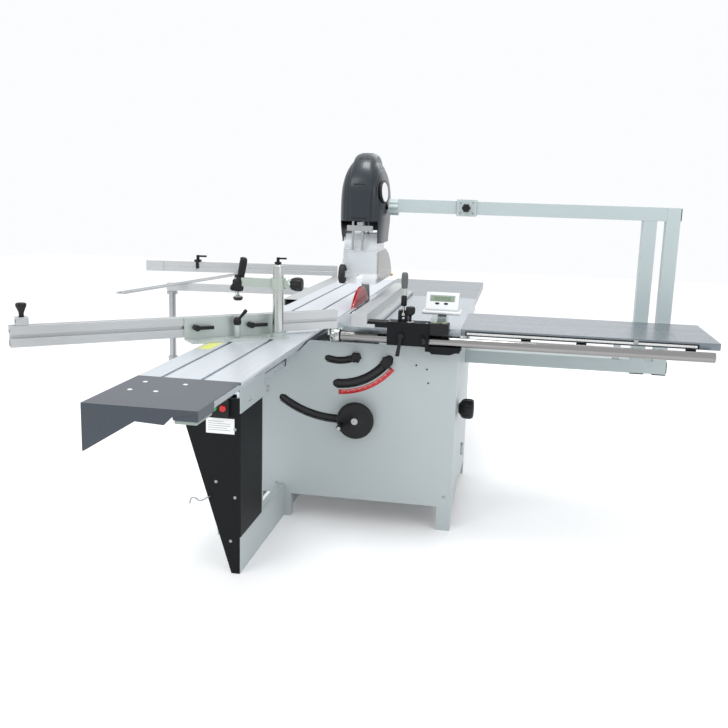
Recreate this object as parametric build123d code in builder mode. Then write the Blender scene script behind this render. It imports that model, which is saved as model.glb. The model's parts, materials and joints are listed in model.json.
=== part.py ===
"""Sliding-table panel saw: cabinet, tilting blade unit, tables, fences, overhead guard and outrigger.

Millimetres, +Z up, +X to the operator's right, +Y away from the operator.
The origin is the centre of the sole of the cabinet's front right leg.
"""

import os
from math import cos, radians, sin

from build123d import *

# ---------------------------------------------------------------- clearances
RUN = 0.05            # radial clearance of a shaft or pin in its bore
GAP = 0.3             # clearance between faces that slide past each other
THIN = 4              # sheet steel of the cabinet and the guards

# ---------------------------------------------------------------- tables
TABLE_Z = 875         # working height of every table
TABLE_LEFT = -505
TABLE_RIGHT = 36
TABLE_FRONT = -30
TABLE_REAR = 1034
PLATE = 14            # thickness of the cast table plate
SKIRT_Z = 815         # lower edge of the cast table's skirt
OUTFEED_LENGTH = 852
EXTENSION_RIGHT = 1050
EXTENSION_FRONT = -15
EXTENSION_REAR = 477
EXTENSION_DEPTH = 28
EXTENSION_SEAM_X = 888

# ---------------------------------------------------------------- cabinet
CABINET_LEFT = -810
CABINET_RIGHT = 30
CABINET_FRONT = -30
CABINET_REAR = 820
CABINET_TOP = 795
SHOULDER_TOP = 674
PANEL_BOTTOM = 105
SIDE_BOTTOM = 70
LEG = 60

# ---------------------------------------------------------------- blade unit
BLADE_X = -475
BLADE_Y = 453
BLADE_Z = 790
BLADE_RADIUS = 157.5
BLADE_THICKNESS = 3
ARBOR_RADIUS = 15
TILT_X = -473
TILT_PIN_RADIUS = 9.7
KNOB_UPPER = (-393, 736)
KNOB_LOWER = (-263, 722)
WHEEL_AXIS = (-385, 469)
SCREW_Y = 250
SCREW_RADIUS = 8
COLUMN_X = -380
COLUMN_YS = (330, 576)
COLUMN_RADIUS = 12
MOTOR_Z = 575
MOTOR_RADIUS = 90
MOTOR_LEFT = -290
MOTOR_RIGHT = -60
PULLEY_LEFT = -320
PULLEY_WIDTH = 20
ARBOR_PULLEY = 40
MOTOR_PULLEY = 45

# ---------------------------------------------------------------- sliding table
SLIDE_LEFT = -823
SLIDE_RIGHT = -507
SLIDE_FRONT = -1222
SLIDE_REAR = 1770
SLIDE_BOTTOM = 755
SLOT_XS = (-747, -625)
RAIL_XS = (-800, -740)
RAIL_RADIUS = 6
BED_TOP = 700
BED_FRONT = -640
BED_REAR = 1150
TRAY_FRONT = -1565

# ---------------------------------------------------------------- mast, boom and hood
MAST_Y = 540
TUBE = 60
BOOM_Z = 1354.5
BOOM_LEFT = -320
COLLAR_LEFT = -47
POST_RIGHT = 940
HOOD_Y = 560
HOOD_Z = 1408
HOOD_RADIUS = 185
HOOD_WIDTH = 169
HOOD_BOTTOM = 1180
PIVOT_Y = 540
PIVOT_Z = 1347

# ---------------------------------------------------------------- rip fence and its rail
RIP_RAIL_Y = -70
RIP_RAIL_Z = 828
RIP_RAIL_RADIUS = 20
FENCE_LEFT = -403
FENCE_RIGHT = -305
FENCE_BOTTOM = 878
FENCE_TOP = 935
HEAD_LEFT = -256
HEAD_RIGHT = -87

# ---------------------------------------------------------------- mitre fence and outrigger
MITRE_PIVOT = (-747, -540)
MITRE_ANGLE = 40
BAR_BOTTOM = 885
BAR_HEIGHT = 72
BAR_THICKNESS = 35
BAR_OFFSET = 53.5
OUTRIGGER_START = (-2041, 1561)
OUTRIGGER_END = (-868, 1773)
OUTRIGGER_BAR_HEIGHT = 62
ARM_PIVOT = (-875, 250)
ARM_TIP = (-1670, 1070)
ARM_Z = 430
POST_RADIUS = 19

os.makedirs("parts", exist_ok=True)


# ---------------------------------------------------------------- helpers
def block(x0, x1, y0, y1, z0, z1, mode=Mode.ADD):
    """Rectangular block between two corners of the current frame."""
    with Locations(((x0 + x1) / 2, (y0 + y1) / 2, (z0 + z1) / 2)):
        Box(x1 - x0, y1 - y0, z1 - z0, mode=mode)


def rod_x(x0, x1, y, z, radius, mode=Mode.ADD):
    """Round bar along X."""
    with Locations(((x0 + x1) / 2, y, z)):
        Cylinder(radius, x1 - x0, rotation=(0, 90, 0), mode=mode)


def rod_y(y0, y1, x, z, radius, mode=Mode.ADD):
    """Round bar along Y."""
    with Locations((x, (y0 + y1) / 2, z)):
        Cylinder(radius, y1 - y0, rotation=(90, 0, 0), mode=mode)


def rod_z(z0, z1, x, y, radius, mode=Mode.ADD):
    """Round bar along Z."""
    with Locations((x, y, (z0 + z1) / 2)):
        Cylinder(radius, z1 - z0, mode=mode)


def plate_y(points, y0, y1, mode=Mode.ADD):
    """Plate between two depths, with an outline of (x, z) points."""
    with BuildSketch(Plane.XZ.offset(-y1)) as outline:
        Polygon(*points, align=None)
    extrude(outline.sketch, amount=y1 - y0, mode=mode)


def plate_x(points, x0, x1, mode=Mode.ADD):
    """Plate between two widths, with an outline of (y, z) points."""
    with BuildSketch(Plane.YZ.offset(x0)) as outline:
        Polygon(*points, align=None)
    extrude(outline.sketch, amount=x1 - x0, mode=mode)


def arc_slot(y0, y1, radius, start, end, width, mode=Mode.SUBTRACT):
    """Curved slot about the tilt axis; angles are from straight down towards +X."""
    path = Edge.make_circle(radius, Plane.XY, start - 90, end - 90)
    with BuildSketch(Plane.XZ.offset(-y1)) as outline:
        with Locations((TILT_X, TABLE_Z)):
            SlotArc(path, width)
    extrude(outline.sketch, amount=y1 - y0, mode=mode)


def knob(plane, radius, height, lobes=6):
    """Lobed hand knob that grows along the plane's normal."""
    with BuildSketch(plane) as outline:
        Circle(radius * 0.86)
        with PolarLocations(radius * 0.74, lobes):
            Circle(radius * 0.26)
    extrude(outline.sketch, amount=height)


def save(piece, name):
    """Label a finished piece and write it out."""
    piece.part.label = name
    export_step(piece.part, f"parts/{name}.step")


# ================================================================ fixed base
INNER_LEFT = CABINET_LEFT + THIN
INNER_RIGHT = CABINET_RIGHT - THIN
DOOR_FRONT = 25
DOOR_REAR = 502
DOOR_BOTTOM = 130
DOOR_TOP = 780
DOOR_GAP = 2
HINGE_X = CABINET_RIGHT + 6
HINGE_Y = DOOR_REAR + 2
HINGE_PIN = 3
HINGE_ZS = (210, 735)
KNUCKLE = 40
DUST_Z = 300
CHEEK_LEFT = -700      # the end panels rise beside the guide bed, up to the sliding table
CHEEK_GAP = 10
DUST_RADIUS = 60

with BuildPart() as cabinet_shell:
    front_outline = [
        (CABINET_LEFT, PANEL_BOTTOM), (CABINET_LEFT, SHOULDER_TOP), (CHEEK_LEFT, SHOULDER_TOP),
        (CHEEK_LEFT, SLIDE_BOTTOM - CHEEK_GAP), (-644, SLIDE_BOTTOM - CHEEK_GAP), (-598, CABINET_TOP),
        (CABINET_RIGHT, CABINET_TOP), (CABINET_RIGHT, PANEL_BOTTOM),
    ]
    plate_y(front_outline, CABINET_FRONT, CABINET_FRONT + THIN)
    plate_y(front_outline, CABINET_REAR - THIN, CABINET_REAR)
    block(CABINET_LEFT, INNER_LEFT, CABINET_FRONT, CABINET_REAR, SIDE_BOTTOM, SHOULDER_TOP)
    block(INNER_RIGHT, CABINET_RIGHT, CABINET_FRONT, CABINET_REAR, SIDE_BOTTOM, CABINET_TOP)
    block(CABINET_RIGHT - LEG, CABINET_RIGHT, CABINET_FRONT, CABINET_FRONT + LEG, 0, PANEL_BOTTOM)
    block(CABINET_RIGHT - LEG, CABINET_RIGHT, CABINET_REAR - LEG, CABINET_REAR, 0, PANEL_BOTTOM)
    block(CABINET_LEFT, CABINET_LEFT + LEG, CABINET_REAR - LEG, CABINET_REAR, 0, PANEL_BOTTOM)
    block(-702, -672, CABINET_FRONT, CABINET_FRONT + 40, 0, PANEL_BOTTOM + 25)
    block(INNER_LEFT, INNER_RIGHT, 500, 560, 100, 125)
    arc_slot(CABINET_FRONT, CABINET_FRONT + THIN, 160, -17, 32, 24)
    arc_slot(CABINET_FRONT, CABINET_FRONT + THIN, 260, -1, 57, 34)
    arc_slot(CABINET_FRONT, CABINET_FRONT + THIN, 415, -35.5, 15, 30)
    for hole_x, hole_z in ((-141, 715), (-96, 700), (-88, 642)):
        rod_y(CABINET_FRONT, CABINET_FRONT + THIN, hole_x, hole_z, 4, Mode.SUBTRACT)
    block(INNER_RIGHT, CABINET_RIGHT, DOOR_FRONT, DOOR_REAR, DOOR_BOTTOM, DOOR_TOP, Mode.SUBTRACT)
    rod_y(CABINET_REAR - THIN, CABINET_REAR, TILT_X, DUST_Z, DUST_RADIUS - THIN, Mode.SUBTRACT)
    for hinge_z in HINGE_ZS:
        for end in (-1, 1):
            middle_z = hinge_z + end * (KNUCKLE / 2 + 5 + GAP)
            block(CABINET_RIGHT, HINGE_X + 5, HINGE_Y - 1, HINGE_Y + 5, middle_z - 5, middle_z + 5)
        rod_z(hinge_z - KNUCKLE / 2 - 8, hinge_z + KNUCKLE / 2 + 8, HINGE_X, HINGE_Y, HINGE_PIN)
    rod_y(CABINET_REAR, CABINET_REAR + THIN, TILT_X, DUST_Z, DUST_RADIUS + 20)
    rod_y(CABINET_REAR + THIN, CABINET_REAR + 60, TILT_X, DUST_Z, DUST_RADIUS)
    rod_y(CABINET_REAR, CABINET_REAR + 60, TILT_X, DUST_Z, DUST_RADIUS - THIN, Mode.SUBTRACT)
    block(-845, CABINET_LEFT, ARM_PIVOT[1] - 35, ARM_PIVOT[1] + 35, 385, 475)
    for lug_z in (388, 460):
        block(-875, -845, ARM_PIVOT[1] - 22, ARM_PIVOT[1] + 22, lug_z, lug_z + 12)
        rod_z(lug_z, lug_z + 12, ARM_PIVOT[0], ARM_PIVOT[1], 22)
    rod_z(380, 480, ARM_PIVOT[0], ARM_PIVOT[1], 10)
save(cabinet_shell, "cabinet_shell")

# The floor beam, the front support and its dark covers carry the front of the guide bed.
SUPPORT_FRONT = -647
BEAM_LEFT = -732
BEAM_RIGHT = -702
SUPPORT_REAR = -370
BEAM_TOP = 146
BED_THICKNESS = 24
BED_BOTTOM = BED_TOP - BED_THICKNESS

with BuildPart() as base_support:
    block(BEAM_LEFT, BEAM_RIGHT, SUPPORT_FRONT + THIN, CABINET_FRONT, 0, BEAM_TOP)
    block(BEAM_LEFT, BEAM_RIGHT, CABINET_FRONT, 560, 0, 100)
    block(BEAM_LEFT + THIN, BEAM_RIGHT - THIN, SUPPORT_FRONT + 2 * THIN, CABINET_FRONT - THIN,
          THIN, BEAM_TOP - THIN, Mode.SUBTRACT)
    block(BEAM_LEFT + THIN, BEAM_RIGHT - THIN, CABINET_FRONT + THIN, 556, THIN, 96, Mode.SUBTRACT)
    block(-790, BEAM_RIGHT, SUPPORT_FRONT + THIN, SUPPORT_REAR - 10, BEAM_TOP, BED_BOTTOM)
    block(-786, BEAM_RIGHT - THIN, SUPPORT_FRONT + 2 * THIN, SUPPORT_REAR - 14, BEAM_TOP, BED_BOTTOM,
          Mode.SUBTRACT)
    block(BEAM_RIGHT - THIN, BEAM_RIGHT, SUPPORT_REAR - 10, SUPPORT_REAR + 20, BEAM_TOP, BED_BOTTOM)
    block(BEAM_RIGHT, BEAM_RIGHT + THIN, SUPPORT_FRONT, SUPPORT_REAR + 20, 620, 735)
    block(-910, CABINET_LEFT, SUPPORT_FRONT + THIN, BED_REAR, 620, BED_BOTTOM)
    block(-906, CABINET_LEFT - THIN, SUPPORT_FRONT + THIN, BED_REAR, 624, BED_BOTTOM - THIN,
          Mode.SUBTRACT)
    block(CABINET_LEFT, -790, SUPPORT_FRONT + THIN, SUPPORT_REAR - 10, 640, 644)
    block(BEAM_RIGHT, BEAM_RIGHT + THIN, -551, -515, 643, 659, Mode.SUBTRACT)
    rod_x(BEAM_RIGHT, BEAM_RIGHT + THIN, -551, 651, 8, Mode.SUBTRACT)
    rod_x(BEAM_RIGHT, BEAM_RIGHT + THIN, -515, 651, 8, Mode.SUBTRACT)
save(base_support, "base_support")

with BuildPart() as support_cover:
    plate_y([(-735, 0), (-915, 582), (-915, BED_BOTTOM), (BEAM_RIGHT, BED_BOTTOM), (BEAM_RIGHT, 0)],
            SUPPORT_FRONT, SUPPORT_FRONT + THIN)
    block(BEAM_RIGHT, BEAM_RIGHT + THIN, SUPPORT_FRONT, SUPPORT_REAR - 10, BEAM_TOP, 620)
save(support_cover, "support_cover")

with BuildPart() as guide_bed:
    block(-860, -705, BED_FRONT, BED_REAR, BED_BOTTOM, BED_TOP)
    block(-850, -715, BED_FRONT, BED_REAR, BED_BOTTOM, BED_TOP - 10, Mode.SUBTRACT)
    for rail_x in RAIL_XS:
        rod_y(BED_FRONT, BED_REAR, rail_x, BED_TOP + RAIL_RADIUS, RAIL_RADIUS)
        block(rail_x - 3, rail_x + 3, BED_FRONT, BED_REAR, BED_TOP, BED_TOP + 2)
save(guide_bed, "guide_bed")

# ---------------------------------------------------------------- switch on the front support
SWITCH_LEFT = -814
SWITCH_RIGHT = -739
BUTTON_RADIUS = 12
BUTTON_Z = 640
START_X = -794
STOP_X = -760
SWITCH_FRONT = SUPPORT_FRONT - 16

with BuildPart() as switch_box:
    block(SWITCH_LEFT, SWITCH_RIGHT, SWITCH_FRONT, SUPPORT_FRONT, 606, 675)
    fillet(switch_box.edges().filter_by(Axis.Y), 8)
    for button_x in (START_X, STOP_X):
        rod_y(SWITCH_FRONT, SUPPORT_FRONT - 2, button_x, BUTTON_Z, BUTTON_RADIUS + GAP, Mode.SUBTRACT)
save(switch_box, "switch_box")

BUTTON_TRAVEL = 4

for button_name, button_x in (("start_button", START_X), ("stop_button", STOP_X)):
    with BuildPart() as button:
        rod_y(SWITCH_FRONT - 8, SUPPORT_FRONT - 2 - BUTTON_TRAVEL - 1, button_x, BUTTON_Z, BUTTON_RADIUS)
        chamfer(button.edges().group_by(Axis.Y)[0], 2)
    save(button, button_name)

# ---------------------------------------------------------------- cast table, insert, outfeed
INSERT_THICKNESS = 4
INSERT_LEFT = -501
INSERT_RIGHT = -447
INSERT_FRONT = 230
INSERT_REAR = 940
PLATE_BOTTOM = TABLE_Z - PLATE
TRUNNION_YS = (52, 736)
TRUNNION_THICKNESS = 8
TRUNNION_OUTLINE = [
    (-500, PLATE_BOTTOM), (-345, PLATE_BOTTOM), (-330, 740),
    (-400, 675), (-560, 675), (-560, 740),
]

with BuildPart() as main_table:
    block(TABLE_LEFT, TABLE_RIGHT, TABLE_FRONT, TABLE_REAR, PLATE_BOTTOM, TABLE_Z)
    block(TABLE_LEFT, TABLE_RIGHT, TABLE_FRONT, TABLE_FRONT + 12, SKIRT_Z, PLATE_BOTTOM)
    block(TABLE_LEFT, TABLE_RIGHT, TABLE_REAR - 12, TABLE_REAR, SKIRT_Z, PLATE_BOTTOM)
    block(TABLE_RIGHT - 12, TABLE_RIGHT, TABLE_FRONT, TABLE_REAR, SKIRT_Z, PLATE_BOTTOM)
    for foot_x in (-280, 0):
        block(foot_x - 20, foot_x + 20, TABLE_FRONT, TABLE_FRONT + 12, CABINET_TOP, SKIRT_Z)
        block(foot_x - 20, foot_x + 20, CABINET_REAR - 12, CABINET_REAR, CABINET_TOP, PLATE_BOTTOM)
    for trunnion_y in TRUNNION_YS:
        plate_y(TRUNNION_OUTLINE, trunnion_y, trunnion_y + TRUNNION_THICKNESS)
        arc_slot(trunnion_y, trunnion_y + TRUNNION_THICKNESS, 160.37, -17, 32,
                 2 * (TILT_PIN_RADIUS + GAP))
    block(INSERT_LEFT, INSERT_RIGHT, INSERT_FRONT, INSERT_REAR, TABLE_Z - INSERT_THICKNESS, TABLE_Z,
          Mode.SUBTRACT)
    block(INSERT_LEFT + 3, INSERT_RIGHT - 5, INSERT_FRONT + 10, INSERT_REAR - 10, PLATE_BOTTOM, TABLE_Z,
          Mode.SUBTRACT)
save(main_table, "main_table")

with BuildPart() as table_insert:
    block(INSERT_LEFT, INSERT_RIGHT, INSERT_FRONT, INSERT_REAR, TABLE_Z - INSERT_THICKNESS, TABLE_Z)
    block(BLADE_X - 14, BLADE_X + 12, 250, 718, TABLE_Z - INSERT_THICKNESS, TABLE_Z, Mode.SUBTRACT)
save(table_insert, "table_insert")

with BuildPart() as outfeed_table:
    outfeed_rear = TABLE_REAR + OUTFEED_LENGTH
    block(TABLE_LEFT, TABLE_RIGHT, TABLE_REAR, outfeed_rear, 835, TABLE_Z)
    block(TABLE_LEFT + 6, TABLE_RIGHT - 6, TABLE_REAR + 6, outfeed_rear - 6, 835, TABLE_Z - 6,
          Mode.SUBTRACT)
save(outfeed_table, "outfeed_table")

SHEET = 3

with BuildPart() as extension_table:
    extension_bottom = TABLE_Z - EXTENSION_DEPTH
    block(TABLE_RIGHT, EXTENSION_RIGHT, EXTENSION_FRONT, EXTENSION_REAR, extension_bottom, TABLE_Z)
    block(TABLE_RIGHT + SHEET, EXTENSION_RIGHT - SHEET, EXTENSION_FRONT + SHEET, EXTENSION_REAR - SHEET,
          extension_bottom, TABLE_Z - SHEET, Mode.SUBTRACT)
    block(EXTENSION_SEAM_X, EXTENSION_SEAM_X + 1.5, EXTENSION_FRONT, EXTENSION_REAR, TABLE_Z - 1.2,
          TABLE_Z, Mode.SUBTRACT)
save(extension_table, "extension_table")

# ---------------------------------------------------------------- rip rail and what holds it
RAIL_LEFT = -494
RAIL_RIGHT = 1022

with BuildPart() as rip_rail:
    rod_x(RAIL_LEFT, RAIL_RIGHT, RIP_RAIL_Y, RIP_RAIL_Z, RIP_RAIL_RADIUS)
    chamfer(rip_rail.edges().filter_by(GeomType.CIRCLE), 2)
save(rip_rail, "rip_rail")

with BuildPart() as rail_brackets:
    rod_x(RAIL_LEFT + 3, RAIL_LEFT + 39, RIP_RAIL_Y, RIP_RAIL_Z, RIP_RAIL_RADIUS + 6)
    block(RAIL_LEFT + 6, RAIL_LEFT + 30, RIP_RAIL_Y, TABLE_FRONT, RIP_RAIL_Z - 8, RIP_RAIL_Z + 8)
    rail_bottom = RIP_RAIL_Z - RIP_RAIL_RADIUS
    plate_y([(-107, rail_bottom), (-75, 776), (0, 776), (44, 796), (44, rail_bottom)],
            RIP_RAIL_Y - 18, TABLE_FRONT)
    block(-107, TABLE_RIGHT, TABLE_FRONT - 8, TABLE_FRONT, 776, 845)
    for angle_x in (300, 520, 940):
        block(angle_x - 20, angle_x + 20, RIP_RAIL_Y + 12, EXTENSION_FRONT + 9, 824, 830)
        block(angle_x - 20, angle_x + 20, EXTENSION_FRONT + SHEET, EXTENSION_FRONT + 9, 824,
              TABLE_Z - SHEET)
    rod_x(RAIL_LEFT, RAIL_RIGHT, RIP_RAIL_Y, RIP_RAIL_Z, RIP_RAIL_RADIUS, Mode.SUBTRACT)
    block(54, 969, EXTENSION_FRONT - 6, EXTENSION_FRONT, 852, 866)
save(rail_brackets, "rail_brackets")

# ---------------------------------------------------------------- mast
MAST_LOW = MAST_Y - TUBE / 2
MAST_HIGH = MAST_Y + TUBE / 2
LOWER_TOP = 694
LOWER_BOTTOM = LOWER_TOP - TUBE
BOOM_BOTTOM = BOOM_Z - TUBE / 2
BOOM_TOP = BOOM_Z + TUBE / 2
INNER_POST_X = 782
TUBE_WALL = 4

with BuildPart() as mast_frame:
    block(CABINET_RIGHT, POST_RIGHT, MAST_LOW, MAST_HIGH, LOWER_BOTTOM, LOWER_TOP)
    block(CABINET_RIGHT, POST_RIGHT - TUBE_WALL, MAST_LOW + TUBE_WALL, MAST_HIGH - TUBE_WALL,
          LOWER_BOTTOM + TUBE_WALL, LOWER_TOP - TUBE_WALL, Mode.SUBTRACT)
    for post_x, post_top in ((POST_RIGHT - TUBE, BOOM_TOP), (INNER_POST_X, BOOM_BOTTOM)):
        block(post_x, post_x + TUBE, MAST_LOW, MAST_HIGH, LOWER_TOP, post_top)
        block(post_x + TUBE_WALL, post_x + TUBE - TUBE_WALL, MAST_LOW + TUBE_WALL,
              MAST_HIGH - TUBE_WALL, LOWER_TOP, post_top - TUBE_WALL, Mode.SUBTRACT)
    plate_x([(515, LOWER_TOP), (545, LOWER_TOP), (450, TABLE_Z - SHEET), (420, TABLE_Z - SHEET)],
            700, 730)
save(mast_frame, "mast_frame")

SLIDE_TUBE = TUBE - 2 * TUBE_WALL - 2 * GAP
COLLAR = 76
BOOM_KNOB_X = -2

with BuildPart() as mast_boom:
    block(COLLAR_LEFT, POST_RIGHT - TUBE, MAST_LOW, MAST_HIGH, BOOM_BOTTOM, BOOM_TOP)
    block(COLLAR_LEFT, COLLAR_LEFT + 90, MAST_Y - COLLAR / 2, MAST_Y + COLLAR / 2,
          BOOM_Z - COLLAR / 2, BOOM_Z + COLLAR / 2)
    block(COLLAR_LEFT, POST_RIGHT - TUBE, MAST_LOW + TUBE_WALL, MAST_HIGH - TUBE_WALL,
          BOOM_BOTTOM + TUBE_WALL, BOOM_TOP - TUBE_WALL, Mode.SUBTRACT)
    rod_y(MAST_Y - COLLAR / 2, MAST_LOW + TUBE_WALL, BOOM_KNOB_X, BOOM_Z, 6 + RUN, Mode.SUBTRACT)
save(mast_boom, "mast_boom")

with BuildPart() as boom_knob:
    knob(Plane.XZ.offset(-(MAST_Y - COLLAR / 2 - 8)) * Pos(BOOM_KNOB_X, BOOM_Z), 20, 24)
    rod_y(MAST_Y - COLLAR / 2 - 8, MAST_LOW + TUBE_WALL, BOOM_KNOB_X, BOOM_Z, 6)
save(boom_knob, "boom_knob")

# ================================================================ boom slide, hood and guard
HUB_RADIUS = 37.5
HUB_WIDTH = 44
AXLE_RADIUS = 12
HOOD_LEFT = BLADE_X - HOOD_WIDTH / 2
HOOD_RIGHT = BLADE_X + HOOD_WIDTH / 2

with BuildPart() as boom_slide_tube:
    block(BOOM_LEFT, COLLAR_LEFT - 2, MAST_LOW, MAST_HIGH, BOOM_BOTTOM, BOOM_TOP)
    block(COLLAR_LEFT - 2, 300, MAST_Y - SLIDE_TUBE / 2, MAST_Y + SLIDE_TUBE / 2,
          BOOM_Z - SLIDE_TUBE / 2, BOOM_Z + SLIDE_TUBE / 2)
    block(BOOM_LEFT, 300, MAST_LOW + 9, MAST_HIGH - 9, BOOM_BOTTOM + 9, BOOM_TOP - 9, Mode.SUBTRACT)
    block(BOOM_LEFT, BOOM_LEFT + 4, MAST_LOW, MAST_HIGH, BOOM_BOTTOM, BOOM_TOP)
    knob(Plane.YZ.offset(BOOM_LEFT - HUB_WIDTH) * Pos(PIVOT_Y, PIVOT_Z), HUB_RADIUS, HUB_WIDTH, 8)
    rod_x(BOOM_LEFT - HUB_WIDTH, BOOM_LEFT - 5, PIVOT_Y, PIVOT_Z, AXLE_RADIUS + RUN, Mode.SUBTRACT)
save(boom_slide_tube, "boom_slide_tube")


def hood_volume(inset):
    """Solid of the hood's outside, or of its inside when inset by the wall."""
    radius = HOOD_RADIUS - inset
    with BuildPart() as volume:
        with BuildSketch(Plane.YZ.offset(HOOD_LEFT + inset)):
            with BuildLine():
                Polyline((HOOD_Y - radius, HOOD_Z), (HOOD_Y - radius, HOOD_BOTTOM),
                         (HOOD_Y + radius, HOOD_BOTTOM), (HOOD_Y + radius, HOOD_Z))
                RadiusArc((HOOD_Y + radius, HOOD_Z), (HOOD_Y - radius, HOOD_Z), -radius)
            make_face()
        extrude(amount=HOOD_WIDTH - 2 * inset)
        rim = [edge for edge in volume.edges().filter_by(Plane.YZ)
               if edge.center().Z > HOOD_BOTTOM + 1]
        fillet(rim, 55 - inset)
    return volume.part


hood_outside = hood_volume(0)
hood_inside = hood_volume(THIN)
HOOD_REAR = HOOD_Y + HOOD_RADIUS
SPIGOT_Z = 1420
SPIGOT_RADIUS = 40
MOUTH_Z = 1262
REAR_MOUTH_Z = 1230
BRACE_Z = 1480
ROD_YS = (500, 620)
ROD_RADIUS = 5

with BuildPart() as hood_shell:
    add(hood_outside)
    rod_y(HOOD_REAR - 30, HOOD_REAR + 5, BLADE_X, SPIGOT_Z, SPIGOT_RADIUS + 8)
    rod_y(HOOD_REAR, HOOD_REAR + 55, BLADE_X, SPIGOT_Z, SPIGOT_RADIUS)
    add(hood_inside, mode=Mode.SUBTRACT)
    rod_y(HOOD_REAR - 30, HOOD_REAR + 56, BLADE_X, SPIGOT_Z,
          SPIGOT_RADIUS - THIN, Mode.SUBTRACT)
    block(HOOD_LEFT + 20, HOOD_RIGHT - 20, HOOD_Y - HOOD_RADIUS - 1, HOOD_Y - HOOD_RADIUS + 50,
          HOOD_BOTTOM, MOUTH_Z, Mode.SUBTRACT)
    block(HOOD_LEFT + THIN, HOOD_RIGHT - THIN, HOOD_REAR - 60, HOOD_REAR + 1,
          HOOD_BOTTOM, REAR_MOUTH_Z, Mode.SUBTRACT)
    block(HOOD_LEFT + THIN, HOOD_RIGHT - THIN, 480, 640, BRACE_Z, BRACE_Z + 6)
    block(BLADE_X - 22, BLADE_X + 22, 360, 420, 1452, 1464, Mode.SUBTRACT)
    rod_x(HOOD_RIGHT, HOOD_RIGHT + 6, PIVOT_Y, PIVOT_Z, 28)
    rod_x(HOOD_RIGHT + 6, BOOM_LEFT - 7, PIVOT_Y, PIVOT_Z, AXLE_RADIUS)
    for rod_place in ROD_YS:
        rod_z(1150, BRACE_Z, BLADE_X, rod_place, ROD_RADIUS)
save(hood_shell, "hood_shell")

GUARD_LEFT = -552
GUARD_RIGHT = -399
GUARD_FRONT = 418
GUARD_BOTTOM = 992
CROWN_NOTCH_HALF = 14
CROWN_NOTCH_TOP = 1034
CROSS_Z = 1222
ROLLER_X = -546
ROLLER_Y = 370
ROLLER_Z = 1040
ROLLER_RADIUS = 44
ROLLER_WIDTH = 24
roller_right = ROLLER_X + ROLLER_WIDTH / 2

with BuildPart() as clear_guard:
    guard_side = [
        (GUARD_FRONT, GUARD_BOTTOM), (900, GUARD_BOTTOM), (900, 1014), (840, 1078), (777, 1115),
        (700, 1138), (640, 1148), (640, CROSS_Z), (460, CROSS_Z), (GUARD_FRONT, 1150),
    ]
    guard_core = [
        (GUARD_FRONT + THIN, GUARD_BOTTOM - 1), (896, GUARD_BOTTOM - 1), (896, 1012), (837, 1075),
        (775, 1111), (699, 1134), (636, 1144), (636, CROSS_Z - THIN), (462, CROSS_Z - THIN),
        (GUARD_FRONT + THIN, 1149),
    ]
    plate_x(guard_side, GUARD_LEFT, GUARD_RIGHT)
    plate_x(guard_core, GUARD_LEFT + 3, GUARD_RIGHT - 3, Mode.SUBTRACT)
    block(BLADE_X - CROWN_NOTCH_HALF, BLADE_X + CROWN_NOTCH_HALF, GUARD_FRONT - 1, GUARD_FRONT + THIN + 1,
          GUARD_BOTTOM - 1, CROWN_NOTCH_TOP, Mode.SUBTRACT)
    for rod_place in ROD_YS:
        rod_z(CROSS_Z - 5, CROSS_Z + 1, BLADE_X, rod_place, ROD_RADIUS + RUN, Mode.SUBTRACT)
    block(roller_right + 2, roller_right + 8, ROLLER_Y - 14, GUARD_FRONT, ROLLER_Z - 14, ROLLER_Z + 14)
    rod_x(roller_right - ROLLER_WIDTH - 4, roller_right + 2, ROLLER_Y, ROLLER_Z, 6)
save(clear_guard, "clear_guard")

with BuildPart() as guard_roller:
    rod_x(ROLLER_X - ROLLER_WIDTH / 2, roller_right, ROLLER_Y, ROLLER_Z, ROLLER_RADIUS)
    fillet(guard_roller.edges().filter_by(GeomType.CIRCLE), 5)
    rod_x(ROLLER_X - ROLLER_WIDTH / 2, roller_right, ROLLER_Y, ROLLER_Z, 6 + RUN, Mode.SUBTRACT)
save(guard_roller, "guard_roller")

# ================================================================ tilting blade unit
FRAME_OUTLINE = [
    (-478, 740), (-440, 775), (-350, 775), (-235, 750), (-235, 690), (-330, 435), (-440, 435), (-478, 500),
]
FRONT_PLATE_Y = 30
REAR_PLATE_Y = 760
FRAME_PLATE = 8
LEDGE_BOTTOM = 615
LEDGE_TOP = 640
BAR_PLACES = ((-430, 520), (-254, 726))

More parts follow.
